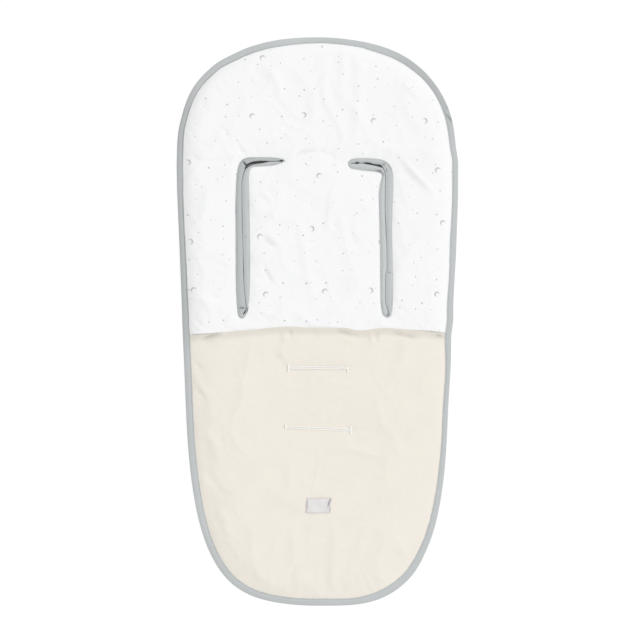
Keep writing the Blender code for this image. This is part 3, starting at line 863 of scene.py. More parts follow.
def add_print(made):
    """A sparse grey print of crescents, dots and tiny four-pointed stars."""
    tree = made.node_tree
    shader = tree.nodes["Principled BSDF"]
    cotton = shader.inputs["Base Color"].links[0].from_socket
    cut = node(tree, "ShaderNodeUVMap", uv_map="cut").outputs[0]

    # Crescents: a disc less the hollow beside it, turned one of two ways
    way, chances = scattered(tree, cut, 0.090, 0.45, (3.3, 1.7, 0))
    side = math_node(tree, "GREATER_THAN", chances[0], 0.5)
    turn = {"Vector": way, "Angle": math_node(tree, "MULTIPLY_ADD", side, -1.9, -0.35)}
    turned = node(tree, "ShaderNodeVectorRotate", turn, rotation_type="Z_AXIS")
    hollow = vector_node(tree, "ADD", turned, (0.0019, 0.0, 0.0))
    disc = span(tree, vector_node(tree, "LENGTH", turned), 0.0037, 0.0050, 1, 0)
    limb = span(tree, vector_node(tree, "LENGTH", hollow), 0.0024, 0.0056, 0, 1)
    crescents = math_node(tree, "MULTIPLY", disc, limb)

    # Dots of many sizes and tones
    way, chances = scattered(tree, cut, 0.029, 0.85, (0.4, 8.1, 0))
    radius = math_node(tree, "MULTIPLY_ADD", chances[0], 0.0008, 0.0006)
    far = math_node(tree, "DIVIDE", vector_node(tree, "LENGTH", way), radius)
    dots = span(tree, far, 0.75, 1.3, 1, 0)
    dots = math_node(tree, "MULTIPLY", dots, math_node(tree, "MULTIPLY_ADD", chances[2], 0.5, 0.5))

    # Stars, in three of four places
    way, chances = scattered(tree, cut, 0.058, 0.85, (5.9, 2.6, 0))
    arms = node(tree, "ShaderNodeSeparateXYZ", {0: way}).outputs
    arms = [math_node(tree, "SQRT", math_node(tree, "ABSOLUTE", arms[axis])) for axis in (0, 1)]
    stars = span(tree, math_node(tree, "ADD", *arms), math.sqrt(0.0013), math.sqrt(0.0020), 0.85, 0)
    stars = math_node(tree, "MULTIPLY", stars, math_node(tree, "LESS_THAN", chances[1], 0.75))

    ink = math_node(tree, "MAXIMUM", crescents, math_node(tree, "MAXIMUM", dots, stars))
    ink = math_node(tree, "MULTIPLY", ink, PRINT_STRENGTH)
    inked = {"Factor": ink, "A": cotton, "B": PRINT_GREY}
    mix = node(tree, "ShaderNodeMix", inked, data_type="RGBA")
    tree.links.new(mix.outputs["Result"], shader.inputs["Base Color"])


PRINT_GREY = (0.36, 0.365, 0.375, 1)
PRINT_STRENGTH = 0.72
cotton = {
    "upper": cloth_material("printed_cotton", WHITE_COTTON, 0.25),
    "lower": cloth_material("ecru_cotton", ECRU_COTTON, 0.6, relief=0.4),
}
add_print(cotton["upper"])

# Creases: (x, y, height, half-width) along each, in millimetres
CREASES = {
    "upper": (
        ((-78, 392, 1.4, 8), (-66, 372, 1.7, 7), (-55, 350, 1.4, 7), (-52, 325, 0.8, 8)),
        ((12, 405, 0.8, 6), (12, 370, 1.4, 7), (13, 335, 1.5, 7), (24, 310, 1.3, 6), (36, 285, 1.1, 5),
         (41, 262, 0.6, 5)),
        ((55, 405, 0.8, 8), (63, 370, 1.3, 9), (61, 310, 1.3, 8), (58, 258, 0.7, 6)),
        ((106, 380, 0.6, 5), (122, 364, 1, 5), (140, 346, 1, 5), (164, 320, 0.5, 5)),
        ((171, 325, -0.5, 3), (176, 295, -0.7, 3), (184, 262, -0.4, 3)),
        ((-150, 290, -0.6, 3), (-138, 286, -1, 3), (-129, 268, -0.6, 3)),
        ((-119, 268, -0.8, 3), (-113, 256, -1.4, 3), (-103, 247.5, -0.6, 3)),
        ((-184, 238, -0.7, 4), (-160, 240, -1, 4), (-128, 239, -0.6, 4)),
        ((146, 258, 0.7, 6), (170, 253, 1.1, 6), (190, 247, 0.6, 5)),
        ((-46, 241.5, -0.6, 2), (-36, 246, -1.1, 3), (-24, 253, -1.3, 4), (0, 254.5, -1.3, 4),
         (18, 250, -1.3, 4), (30, 242, -0.6, 4)),
        ((-20, 236, 0.7, 12), (0, 240, 1.1, 12), (20, 235, 0.7, 12)),
        ((-160, 210, 0.8, 8), (-164, 184, 1.7, 8), (-172, 158, 1.1, 7), (-186, 140, 0.6, 6)),
        ((-152, 219, -0.6, 2), (-150, 212, -0.8, 2), (-146, 204, -0.4, 2)),
        ((-84, 196, 0.7, 4), (-75, 187, 1.3, 4), (-64, 176, 0.7, 4)),
        ((-64, 208, 0.6, 9), (-58, 185, 1.3, 9), (-66, 150, 0.7, 7)),
        ((-84, 129, -0.7, 4), (-72, 119, -1.5, 4), (-59, 106, -0.8, 4)),
        ((-78, 138, 0.6, 5), (-64, 124, 1, 5), (-50, 112, 0.4, 5)),
        ((-84, 90, -0.6, 3), (-78, 80, -1.1, 3), (-70, 64, -1.3, 3), (-62, 54, -0.7, 3)),
        ((-150, -4, -0.6, 3), (-140, 6, -1.3, 3), (-127, 22, -0.6, 3)),
        ((-141, -4, 0.4, 4), (-132, 5, 0.8, 4), (-121, 16, 0.4, 4)),
        ((-182, 48, 0.4, 7), (-168, 30, 1, 8), (-150, 15, 0.6, 7)),
        ((-26, 146, 0.6, 6), (-21, 118, 1.1, 7), (-18, 90, 0.8, 6), (-8, 50, 0.8, 7), (-5, 24, 0.4, 6)),
        ((124, 246, 0.6, 4), (134, 234.5, 1.6, 4), (147, 220, 1.9, 4), (158, 208.5, 1.9, 4.5),
         (169, 197, 1.4, 5), (180, 183, 0.6, 5)),
        ((117, 243, -0.6, 4), (128, 230, -1, 5), (143, 213, -1, 6), (156, 200, -0.9, 6),
         (168, 186, -0.5, 5)),
        ((22, 206, 0.6, 5), (24, 180, 1, 6), (17, 150, 0.7, 6), (14, 120, 0.4, 6)),
        ((46, 136, -0.4, 3), (53, 124, -0.8, 3), (58, 110, -0.4, 3)),
        ((-187, 10, -0.4, 3), (-178, 0, -0.8, 3), (-166, -8, -0.4, 3)),
        ((-190, -3, -0.4, 2), (-182, -10, -0.8, 2), (-173, -15, -0.4, 2)),
    ),
    "lower": (
        ((-178, -28, -0.8, 4), (-166, -22.5, -2.2, 4), (-154, -19, -2.2, 3), (-142, -16.5, -0.8, 3)),
        ((-166, -30, 0.6, 6), (-150, -25, 1.4, 5), (-136, -20, 0.6, 4)),
        ((-104, -14.5, -0.6, 4), (-82, -13.5, -1.3, 4), (-58, -12, -0.6, 4)),
        ((-42.5, -9.5, -1.1, 3), (-41.5, -16, -2.2, 3), (-41, -26, -0.8, 3)),
        ((-50, -12, 0.8, 4), (-50, -20, 1.4, 4), (-50, -32, 0.4, 4)),
        ((-20, -10, -0.6, 4), (-10, -16, -1, 6), (0, -28, -0.4, 5)),
        ((18, -10, -0.8, 3), (30, -13.5, -2, 4), (46, -18, -1.7, 4), (62, -22.5, -0.6, 4)),
        ((30, -22, 0.4, 5), (46, -27, 1.1, 5), (64, -30, 0.4, 5)),
        ((77, -14, 0.7, 3), (79, -24, 1.5, 3), (81, -36, 0.6, 4)),
        ((86, -14, -0.6, 3), (87, -23, -1.3, 3), (87, -33, -0.4, 3)),
        ((108, -16, -0.7, 3), (122, -19, -1.8, 4), (142, -23, -1.4, 4), (156, -26, -0.6, 4)),
        ((172, -20, -0.7, 2), (181, -21.5, -1.7, 2), (189, -22.8, -0.7, 2)),
        ((-190, -55, -0.6, 3), (-181, -62, -1, 3), (-172, -74, -0.4, 3)),
        ((-188, -96, -0.6, 4), (-176, -106, -1, 4), (-164, -120, -0.4, 4)),
        ((-72, -40, -0.4, 5), (-56, -54, -1, 5), (-48, -70, -0.6, 4)),
        ((-172, -158, 0.6, 8), (-156, -180, 1.3, 8), (-146, -215, 0.6, 8)),
        ((-170, -218, -0.6, 6), (-158, -236, -1.1, 6), (-136, -262, -0.6, 6)),
        ((-158, -268, 0.4, 6), (-142, -292, 1.1, 7), (-134, -330, 0.6, 7)),
        ((-46, -196, 0.4, 9), (-42, -230, 1.1, 9), (-44, -268, 0.4, 9)),
        ((-40, -292, 0.4, 8), (-36, -325, 1.1, 8), (-40, -362, 0.4, 8)),
        ((22, -292, 0.4, 8), (24, -330, 1.3, 8), (20, -372, 1.3, 8), (18, -404, 0.6, 7)),
        ((104, -176, 0.4, 10), (102, -208, 1.1, 10), (96, -246, 0.4, 10)),
        ((-62, -396, -0.4, 6), (-46, -382, -1.1, 6), (-30, -362, -0.4, 6)),
        ((76, -300, 0.4, 8), (62, -326, 1, 8), (56, -352, 0.4, 8)),
        ((74, -386, 0.4, 5), (98, -378, 1, 5), (122, -364, 0.4, 5)),
    ),
}
# The noise's seed, and the size and height of large and of small wrinkles
WRINKLES = {
    "upper": (1.3, ((0.085, 0.0011), (0.036, 0.0005))),
    "lower": (6.1, ((0.095, 0.0012), (0.045, 0.0003))),
}


def crumpled(flat, seed, sizes):
    """Heights of faint wrinkles in cotton that has lain folded."""
    total = np.zeros(len(flat))
    for size, height in sizes:
        sway = ripple(flat, size * 1.7, seed + 3.3) * size * 0.8
        wave = ripple(flat + sway[:, None] * (1.0, 0.6), size, seed)
        total += height * np.clip(1 - 3.2 * np.abs(wave), 0, 1) ** 1.5
    return total


for made in cotton.values():
    shade_as_noted(made)
front_cloths = {}
for part, replaced in (
    ("upper", ["front_upper_panel"]),
    ("lower", ["front_seat_panel", "front_leg_panel"]),
):
    pattern, rings, lines = half_pattern(part, EDGE_TURN), bound_areas[part], [tape_line(part)]
    flat, triangles = flat_cut(pattern, cloth_openings[part], rings, lines, CLOTH_STEP)
    base = np.column_stack([flat, face_height(flat, part)])
    front = add_mesh(f"front_cloth_{part}", base, triangles, flat, cotton[part])
    held = ~within_tape(flat, part)
    held |= np.abs(flat[:, 1] - seam_line(flat[:, 0])) < BY_SEAM
    for area in bound_areas[part]:
        held |= inside(flat, area) | (distance_to(flat, area, True) < BY_SLOT)
    puffed = stretch_over(front, np.where(held, 1.0, HARDLY_HELD), LOOSE[part])
    moved = puffed - base
    moved[held] = 0
    moved[:, :2] = PUFF_ASIDE * np.tanh(moved[:, :2] / PUFF_ASIDE)
    most = np.where(moved[:, 2] > 0, PUFF_UP, PUFF_DOWN)
    from_seam = np.abs(flat[:, 1] - seam_line(flat[:, 0]))
    moved[:, 2] = most * np.tanh(moved[:, 2] / most) * swell(from_seam, 0.020, 1.5)
    front.data.vertices.foreach_set("co", (base + moved).ravel())
    points, fine_flat = subdivide(front)
    clear = swell(past_tape(fine_flat, part), CLEAR_OF_TAPE)
    for area in bound_areas[part]:
        clear *= swell(outside(fine_flat, area), CLEAR_OF_SLOT)
    clear *= swell(np.abs(seam_line(fine_flat[:, 0]) - fine_flat[:, 1]), CLEAR_OF_SEAM)
    folds = creased(fine_flat, CREASES[part])
    folds += crumpled(fine_flat, *WRINKLES[part])
    points[:, 2] += clear * np.maximum(folds, LOWEST_CREASE)
    front.data.vertices.foreach_set("co", points.ravel())
    front.data.update()
    shade = CREASE_SHADE * np.clip(-folds / CREASE_DARK, 0, 1) ** 2 * clear
    if part == "lower":
        below = seam_line(fine_flat[:, 0]) - fine_flat[:, 1]
        dip = np.clip((DIP_END - below) / DIP_RUN, 0, 1)
        shade += UNDER_SEAM * dip * dip * (3 - 2 * dip)
        shade += creased(fine_flat, SEAM_FOLDS, SHADED) * (below > 0)
    # Painted shade that takes back part of the lamp's light where the cloth leans towards it
    leaning = read_all(front.data.vertex_normals, "vector", 3) @ np.array(LAMP_FROM / LAMP_FROM.z)
    shade += HIGHLIGHTS * LAMP_LIGHT * np.clip(leaning - 1, 0, None)
    note_shade(front, shade)
    front_cloths[part] = front
    add_thickness(front, CLOTH, subdivided=False)
    bend_with(front, part)
    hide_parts(*replaced)
    area = float(spread(flat, triangles).sum() / 2)

# The harness slot bindings. Each is one grey bias tape folded over the slit's lips, so it
# shows as a soft roll on both sides of a dark line, narrowing where the slit ends. Its turned
# edges are stitched down, and its ends meet in a short join.
TAPE = 0.0007
TAPE_GREY = (0.583, 0.610, 0.612)
FOLD_ROLL = 0.0027
SLOT_LIFT = (FULL_FACE - SEWN_FACE) * (1 - SLOT_DEPTH)  # of the slots' tapes above the edge's
TOUCH_HEIGHT, GAPE_HEIGHT = 0.0103, 0.0022  # of the lips' meeting, where closed and open
TOUCH_ROLL = 0.0013
# Painted shadow in an open slit: its lips are darkened up to these distances from it
MOUTH_REACH = {"left": 0.0020, "right": 0.0012}  # an open mouth's lips are dark up to here
JOIN_DEPTH = 0.0007  # of a fold or join that takes all the light
# Painted shade on the tape's legs to the left and right of the slit, most on the left slot's outer leg,
# which is lit less
LEG_SHADE = {"left": (0.14, 0.06), "right": (0.02, 0.06)}  # to the left and right of the slit
TAPE_FACE = 0.0054  # the tape's top at its stitched edge
TAPE_DOME = 0.0009
STITCH_IN = 0.0014  # from the tape's edge to its stitching
STITCH_SINK, STITCH_DENT = 0.0004, 0.0006  # depth and half-width of the dent along it
TURN_ROUND, TURN_DROP = 0.0008, 0.0005  # the tape's turned edge is rounded off over this
GAPE_FROM, GAPE_RUN = 0.0005, 0.0004  # the opening at which lips start to gape, and gape in full
MOUTH_DARK, MOUTH_FADE = 0.94, 0.0009  # light lost in an open mouth, fading over this
JOIN_DARK, JOIN_CLEAR = 0.92, 0.0006  # most light lost in a join, which stops short of the edges
TAPE_UNEVEN = 0.00022
SEWN_LINE = (0.0002, 0.0010, 0.0014, 0.0026)  # the stitching's shade rises and fades over these
SEWN_SHADE, PATCH_SHADE = 0.02, 0.24  # light lost along it everywhere, and in patches
LIP_RINGS = (0.0004, 0.0011, 0.0022)  # distances from a slit where its lips get rows of points
CREVICE_REACH = 0.0045
CREVICE_AIR = (0.12, 0.62)  # shares of open air where a fold is darkest, and where its dark ends
CREVICE_LIGHT = 0.06  # left at the darkest
SLOT_STEP = 0.0021
# Joins and folds of the slots' tapes, sunk a little and darkened with painted shade, given as the seam's
# folds are
SLOT_JOINS = {
    "left": (
        ((-111, 128.4, 0.18, 0.8), (-106.8, 128.3, 0.27, 0.8), (-102.4, 128.2, 0.18, 0.8)),
        ((-118.8, 21.3, 0.45, 0.9), (-112, 21.7, 0.73, 1), (-105.6, 21.3, 0.73, 0.9)),
        ((-103.6, 24.5, 0.23, 0.8), (-104.6, 17.5, 0.45, 0.8), (-107, 10.5, 0.23, 0.8)),
        ((-101.6, 230.9, 1.8, 1.4), (-103.6, 233.4, 1.3, 1.5), (-105.8, 236, 1.1, 1.5),
         (-108.2, 239, 0.9, 1.3), (-111, 242.4, 0.5, 1)),
    ),
    "right": (
        ((104.6, 73.1, 0.27, 0.8), (108.4, 73, 0.36, 0.8), (112.4, 73, 0.27, 0.8)),
        ((103, 11, 0.27, 0.9), (106.2, 10.2, 0.82, 1), (109.2, 11.2, 0.27, 0.9)),
        ((96.5, 235.2, 0.18, 2.2), (101, 234.6, 0.45, 2.2), (104.6, 233, 0.18, 1.8)),
        ((103.5, 230, 0.18, 0.9), (104.7, 226.2, 0.41, 0.9), (103.6, 222, 0.18, 0.9)),
        ((101.2, 238.8, 0.14, 0.9), (106.4, 235.8, 0.36, 1), (110.5, 230.8, 0.41, 1),
         (112.8, 225.6, 0.36, 1), (114, 219, 0.14, 0.9)),
        ((84.6, 226.2, 0.23, 0.9), (90.1, 225, 0.55, 1), (94.5, 225, 0.73, 1.1),
         (97.4, 222.8, 0.45, 0.9), (99.9, 220, 0.68, 1), (101.4, 216.5, 0.27, 0.9)),
    ),
}


def rounded(distance, run):
    """0 to 1 over a run, along a quarter of a circle."""
    return np.sqrt(1 - (1 - np.clip(distance / run, 0, 1)) ** 2)


def tape_top(from_fold, from_edge, dome, fold_height, lift=0.0, roll_run=FOLD_ROLL, slope=0.0):
    """Height of a folded tape's upper leg at distances from its fold and from its edge."""
    roll = rounded(from_fold, roll_run)
    bulge = np.sin(np.pi * from_fold / (from_fold + from_edge + 1e-9)) ** 2
    sunk = STITCH_SINK * np.exp(-(((from_edge - STITCH_IN) / STITCH_DENT) ** 2))
    sunk += TURN_DROP * (1 - rounded(from_edge, TURN_ROUND))
    top = TAPE_FACE + lift + dome * bulge - slope * from_edge - sunk
    return fold_height + (top - fold_height) * roll


def tape_bottom(from_fold, fold_height, roll_run=FOLD_ROLL):
    """Height of its lower leg, which lies on the floor."""
    return fold_height * (1 - rounded(from_fold, roll_run))


def lips_meet(flat, slit_points):
    """How far a slit's lips gape, and how high they meet and how wide they roll there."""
    route = curve_through(slit_points, SLIT_STEP / 4, False)
    nearest = np.linalg.norm(flat[:, None] - route[None, :, :2], axis=2).argmin(axis=1)
    gape = np.clip((route[nearest, 2] - GAPE_FROM) / GAPE_RUN, 0, 1)
    height = TOUCH_HEIGHT + (GAPE_HEIGHT - TOUCH_HEIGHT) * gape
    return gape, height, TOUCH_ROLL + (FOLD_ROLL - TOUCH_ROLL) * gape


def left_of(flat, slit_points):
    """Whether points lie to the left of a slit, seen along it."""
    route = curve_through(slit_points, SLIT_STEP, False)[:, :2]
    ahead = np.gradient(route, axis=0)
    nearest = np.linalg.norm(flat[:, None] - route[None], axis=2).argmin(axis=1)
    away, way = flat - route[nearest], ahead[nearest]
    return way[:, 0] * away[:, 1] > way[:, 1] * away[:, 0]


def sewn_line(from_edge):
    """1 along a tape's stitching and 0 at its edge and farther in."""
    start, full, fading, end = SEWN_LINE
    rise = np.clip((from_edge - start) / (full - start), 0, 1)
    return rise * np.clip((end - from_edge) / (end - fading), 0, 1)


def on_bias(flat):
    """The flat cut turned by 45 degrees, as bias tape is cut."""
    return np.column_stack([flat[:, 0] + flat[:, 1], flat[:, 0] - flat[:, 1]]) / math.sqrt(2)


def clear_of(slit, outline, route):
    """The stretch of a join's route that lies on the tape."""
    route = route[:, :2]
    on_tape = inside(route, outline) & ~inside(route, slit)
    clear = np.minimum(distance_to(route, slit, True), distance_to(route, outline, True)) > JOIN_CLEAR
    return route[on_tape & clear]


def lipped(outline, slit, lines, step, rings=LIP_RINGS):
    """Flat cut of a band round a slit, and the faces of its upper and lower legs."""
    rings = [grown(slit, distance) for distance in rings]
    flat, triangles = flat_cut(outline, [slit], rings, lines, step, near=0.40)
    from_fold = distance_to(flat, slit, True)
    count = len(flat)
    below = np.where(from_fold < 1e-6, np.arange(count), np.arange(count) + count)
    faces = np.concatenate([triangles, below[triangles[:, ::-1]]])
    return flat, from_fold, faces


def sheet_area(piece):
    return float(sum(face.area for face in piece.data.polygons))


def loop_length(loop):
    return float(lengths(np.concatenate([loop, loop[:1]]))[-1])


def without_loose(faces, *columns):
    """The faces renumbered, and the columns with only the points that they use."""
    used, faces = np.unique(faces, return_inverse=True)
    return faces.reshape(-1, 3), *(column[used] for column in columns)


def darken_crevices(made):
    """Darkens a cloth in its own folds, where little light gets out again."""
    tree = made.node_tree
    air = node(tree, "ShaderNodeAmbientOcclusion", {"Distance": CREVICE_REACH}, samples=8)
    darken(made, span(tree, air.outputs["AO"], *CREVICE_AIR, CREVICE_LIGHT, 1.0))


tape_grey = cloth_material("grey_tape", TAPE_GREY, 0.5, weave=0.00036)
shade_as_noted(tape_grey)
darken_crevices(tape_grey)
for side in ("left", "right"):
    outline, slit = slot_tapes[side], slot_slits[side]
    joins = [placed(join, side, SHADED) for join in SLOT_JOINS[side]]
    lines = [clear_of(slit, outline, curve_through(join, SLIT_STEP, False)) for join in joins]
    flat, from_fold, faces = lipped(outline, slit, lines, SLOT_STEP)
    from_edge = distance_to(flat, outline, True)
    gape, meet, roll = lips_meet(flat, slit_lines[side])
    joins = np.minimum(creased(flat, joins, 1), JOIN_DARK)
    top = tape_top(from_fold, from_edge, TAPE_DOME, meet, SLOT_LIFT, roll) - JOIN_DEPTH * joins
    top += TAPE_UNEVEN * ripple(flat, 0.012, 5.5) * np.clip(from_fold / FOLD_ROLL, 0, 1)
    points = both_faces(flat, top, tape_bottom(from_fold, meet, roll))
    patches = np.clip(1.8 * ripple(flat, 0.030, 9.1), 0, 1)
    shade = (SEWN_SHADE + PATCH_SHADE * patches) * sewn_line(from_edge)
    # Painted shade on the legs beside the slit
    shade += np.where(left_of(flat, slit_lines[side]), *LEG_SHADE[side])
    # Painted shadow on the lips of an open mouth, and painted shade in the joins
    mouth = np.clip((MOUTH_REACH[side] * np.sqrt(gape) - from_fold) / MOUTH_FADE, 0, 1)
    shade = np.maximum(np.maximum(shade, joins), MOUTH_DARK * mouth)
    shade = np.concatenate([shade, np.zeros(len(flat))])
    faces, points, cut, shade = without_loose(faces, points, np.tile(on_bias(flat), (2, 1)), shade)
    tape = add_mesh(f"{side}_slot_tape", points, faces, cut, tape_grey)
    note_shade(tape, shade)
    area = sheet_area(tape)
    add_thickness(tape, TAPE)
    bend_with(tape, "upper")
    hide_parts(f"{side}_slot_binding")
    around = loop_length(slit)

# The crotch slot edgings. Each slit is a buttonhole: its lips are drawn together and covered
# with close satin stitches, and a bar of longer stitches closes each end.
EDGING_ROLL = 0.0013
EDGING_RISE = 0.0008  # of the edging above the cloth beside it
EDGING_FACE = SEWN_FACE + (FULL_FACE - SEWN_FACE) * (1 - CROTCH_DEPTH) + EDGING_RISE
EDGING_BACK = 0.0003
EDGING_CLOTH = 0.0005
EDGING_STEP = 0.0013
LIPS_DIP = 0.0003
IVORY = (0.945, 0.925, 0.880)
SATIN_THREAD = 0.00032
SATIN = {
    "Pitch": 0.00045, "Thread": 2 * SATIN_THREAD, "Height": SATIN_THREAD, "Turn": math.radians(90),
}
SATIN_ABOVE, BAR_ABOVE = 0.0001, 0.0003  # of the thread's middle over what it lies on
SATIN_AT, SATIN_WIDTH = 0.52 * CROTCH_EDGING, 0.95 * CROTCH_EDGING
BAR_WIDTH, BAR_POINTS = 0.0036, 8
# The end bars: (x, y of one end, y of the other), in millimetres
BARS = {
    "rear": ((-44, -63, -73.8), (44.4, -66.4, -78.8)),
    "front": ((-48.8, -150.6, -160.2), (48.4, -155.6, -168)),
}


def stitch_tree():
    """Geometry Nodes: thread stitches of one kind along the edges of a mesh."""
    tree = bpy.data.node_groups.new("stitches", "GeometryNodeTree")
    sockets = [(name, "Float") for name in ("Pitch", "Length", "Thread", "Height", "Turn", "Jitter")]
    for name, kind in (("Geometry", "Geometry"), *sockets, ("Seed", "Int"), ("Material", "Material")):
        tree.interface.new_socket(name, in_out="INPUT", socket_type=f"NodeSocket{kind}")
    tree.interface.new_socket("Geometry", in_out="OUTPUT", socket_type="NodeSocketGeometry")
    given = tree.nodes.new("NodeGroupInput").outputs
    curve = node(tree, "GeometryNodeMeshToCurve", {0: given["Geometry"]})
    spaced = {"Curve": curve, "Length": given["Pitch"]}
    even = node(tree, "GeometryNodeResampleCurve", spaced, mode="LENGTH")
    thread = node(tree, "GeometryNodeMeshUVSphere", {"Segments": 8, "Rings": 6, "Radius": 0.5})
    smooth = node(tree, "GeometryNodeSetShadeSmooth", {0: thread})
    tangent = node(tree, "GeometryNodeInputTangent")
    along = node(tree, "FunctionNodeAlignRotationToVector", {"Vector": tangent}, axis="X")
    between = {2: -1.0, 3: 1.0, "Seed": given["Seed"]}
    chance = node(tree, "FunctionNodeRandomValue", between, data_type="FLOAT").outputs[1]
    angle = math_node(tree, "ADD", given["Turn"], math_node(tree, "MULTIPLY", chance, given["Jitter"]))
    turn = node(tree, "FunctionNodeAxisAngleToRotation", {"Axis": (0, 0, 1), "Angle": angle})
    both = {"Rotation": along, "Rotate By": turn}
    turned = node(tree, "FunctionNodeRotateRotation", both, rotation_space="LOCAL")
    lengths_of = {0: given["Length"], 1: given["Thread"], 2: given["Height"]}
    size = node(tree, "ShaderNodeCombineXYZ", lengths_of)
    stitches = {"Points": even, "Instance": smooth, "Rotation": turned, "Scale": size}
    stitches = node(tree, "GeometryNodeInstanceOnPoints", stitches)
    real = node(tree, "GeometryNodeRealizeInstances", {0: stitches})
    coloured = node(tree, "GeometryNodeSetMaterial", {0: real, "Material": given["Material"]})
    node(tree, "NodeGroupOutput", {0: coloured})
    return tree


def stitch(name, routes, material, **values):
    """A mesh of stitches along routes given as (points, closed)."""
    points, edges = joined(routes)
    mesh = bpy.data.meshes.new(name)
    mesh.from_pydata([tuple(map(float, point)) for point in points], edges, [])
    made = bpy.data.objects.new(name, mesh)
    bpy.context.scene.collection.objects.link(made)
    sewing = made.modifiers.new("stitches", "NODES")
    sewing.node_group = stitches_of_thread
    values["Material"] = material
    for socket in stitches_of_thread.interface.items_tree:
        if socket.in_out == "INPUT" and socket.name in values:
            sewing[socket.identifier] = values[socket.name]
    shown = made.evaluated_get(bpy.context.evaluated_depsgraph_get())
    threads = bpy.data.meshes.new_from_object(shown)
    made.modifiers.clear()
    made.data = threads
    return made


def thread_material(name, colour):
    inputs = {"Base Color": (*colour, 1), "Roughness": 0.55, "Specular IOR Level": 0.3}
    return new_material(name, inputs)[0]


ecru_mesh = front_cloths["lower"].data
ecru_surface = BVHTree.FromPolygons(
    [tuple(v.co) for v in ecru_mesh.vertices], [tuple(f.vertices) for f in ecru_mesh.polygons]
)


def ecru_height(x, y):
    """Height of the ecru cloth at a place, and 0 past its edge."""
    hit = ecru_surface.ray_cast(Vector((x, y, 0.05)), Vector((0, 0, -1)))[0]
    return hit.z if hit else 0


stitches_of_thread = stitch_tree()
ivory = thread_material("ivory_thread", IVORY)
lip_ivory = cloth_material("ivory_lip", IVORY, 0.4)
for place in ("rear", "front"):
    slit = crotch_slits[place]
    outline = grown(slit, CROTCH_EDGING)
    flat, from_slit, faces = lipped(outline, slit, [], EDGING_STEP, LIP_RINGS[:2])
    roll = rounded(from_slit, EDGING_ROLL)
    middle = EDGING_FACE - LIPS_DIP
    legs = [middle + (end - middle) * roll for end in (EDGING_FACE, EDGING_BACK)]
    faces, points, cut = without_loose(faces, both_faces(flat, *legs), np.tile(flat, (2, 1)))
    lip = add_mesh(f"crotch_slot_{place}_lips", points, faces, cut, lip_ivory)
    area = sheet_area(lip)
    add_thickness(lip, EDGING_CLOTH, subdivided=False)
    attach(lip, "seat_section")
    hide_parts(f"crotch_slot_{place}_edging")
    around = loop_length(slit)
    middle_line = grown(slit, SATIN_AT)
    height = np.full(len(middle_line), EDGING_FACE + SATIN_ABOVE)
    routes = [(np.column_stack([middle_line, height]), True)]
    satin = stitch(
        f"crotch_slot_{place}_satin", routes, ivory, Length=SATIN_WIDTH, Jitter=0.12, Seed=11, **SATIN
    )
    bars = []
    for x, start_y, end_y in np.array(BARS[place]) / 1000:
        bar_y = np.linspace(start_y, end_y, BAR_POINTS)
        bar_z = [max(ecru_height(x, y), EDGING_FACE) + BAR_ABOVE for y in bar_y]
        bars.append((np.column_stack([np.full(BAR_POINTS, x), bar_y, bar_z]), False))
    bar_stitches = stitch(
        f"crotch_slot_{place}_bars", bars, ivory, Length=BAR_WIDTH, Jitter=0.10, Seed=12, **SATIN
    )
    for piece in (satin, bar_stitches):
        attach(piece, "seat_section")

# The edge binding. One grey bias tape folded over the liner's edge all round, a little
# puckered by its stitching, with a diagonal join near the right shoulder.
EDGE_FOLD, EDGE_ROLL, EDGE_DOME = 0.0024, 0.0016, 0.0004
EDGE_UNEVEN = 0.00035  # of the tape's width
PUCKER = 0.00022
PUCKERED, PUCKER_RUN = 0.0022, 0.0018  # its middle's distance from the tape's edge, and half-width
# Shares of the tape's width where its rows of points lie, on its face and then under it
BINDING_ACROSS = (
    1.0, 0.985, 0.95, 0.90, 0.85, 0.80, 0.73, 0.64, 0.54, 0.44, 0.34, 0.26, 0.19, 0.13, 0.08,
    0.04, 0.015,
)
BINDING_UNDER = (0.015, 0.05, 0.10, 0.17, 0.26, 0.45, 0.65, 0.82, 0.90)
# Painted shade: the tape is darker round the right shoulder and along the left of the backrest half: the
# share of the light lost at distances along each side from the foot's middle, in metres
RIGHT_SHADE = (
    (0.00, 0.03), (0.20, 0.08), (0.80, 0.08), (0.89, 0.20), (0.95, 0.18), (1.00, 0.08), (1.101, 0.06),
)
LEFT_SHADE = (
    (0.00, 0.05), (0.15, 0.05), (0.25, 0.00), (0.40, 0.04), (0.49, 0.05), (0.53, 0.15), (0.86, 0.15),
    (0.92, 0.08), (1.02, 0.07), (1.07, 0.02), (1.101, 0.05),
)
SEWN_ALL, SEWN_LEFT = 0.04, {"upper": 0.26, "lower": 0.104}  # light lost along its stitching
JOIN_MOST = 0.6  # of the light, in its join
# Painted shade and painted light across the right side's tape: darker at its fold and lighter at its
# inner edge
ACROSS_SHADE = 0.055  # the right side's tape is lit evenly across, for all its roundness
# The tape's diagonal join, sunk a little and darkened with painted shade, given as the seam's folds are
EDGE_JOINS = (
    ((189, 322.8, 0.1, 1.2), (193, 319.6, 0.16, 1.2), (198.2, 315, 0.1, 1.2)),
    ((190.5, 310.8, 0.2, 1.1), (194, 307.4, 0.36, 1.1), (197.2, 303.6, 0.42, 1.2),
     (200.2, 299.8, 0.42, 1.3), (201.6, 295, 0.24, 1.3)),
)


def edge_columns(part):
    """The sewn edge's points, normals, tape width and way round, and those halfway between."""
    columns = half_edges[part]
    both = np.empty((len(columns) * 2 - 1, columns.shape[1]))
    both[::2], both[1::2] = columns, (columns[1:] + columns[:-1]) / 2
    line, normal, width, around = both[:, :2], both[:, 2:4], both[:, 4], both[:, 5]
    return line, normal, width + EDGE_UNEVEN * ripple(line, 0.013, 2.2), around


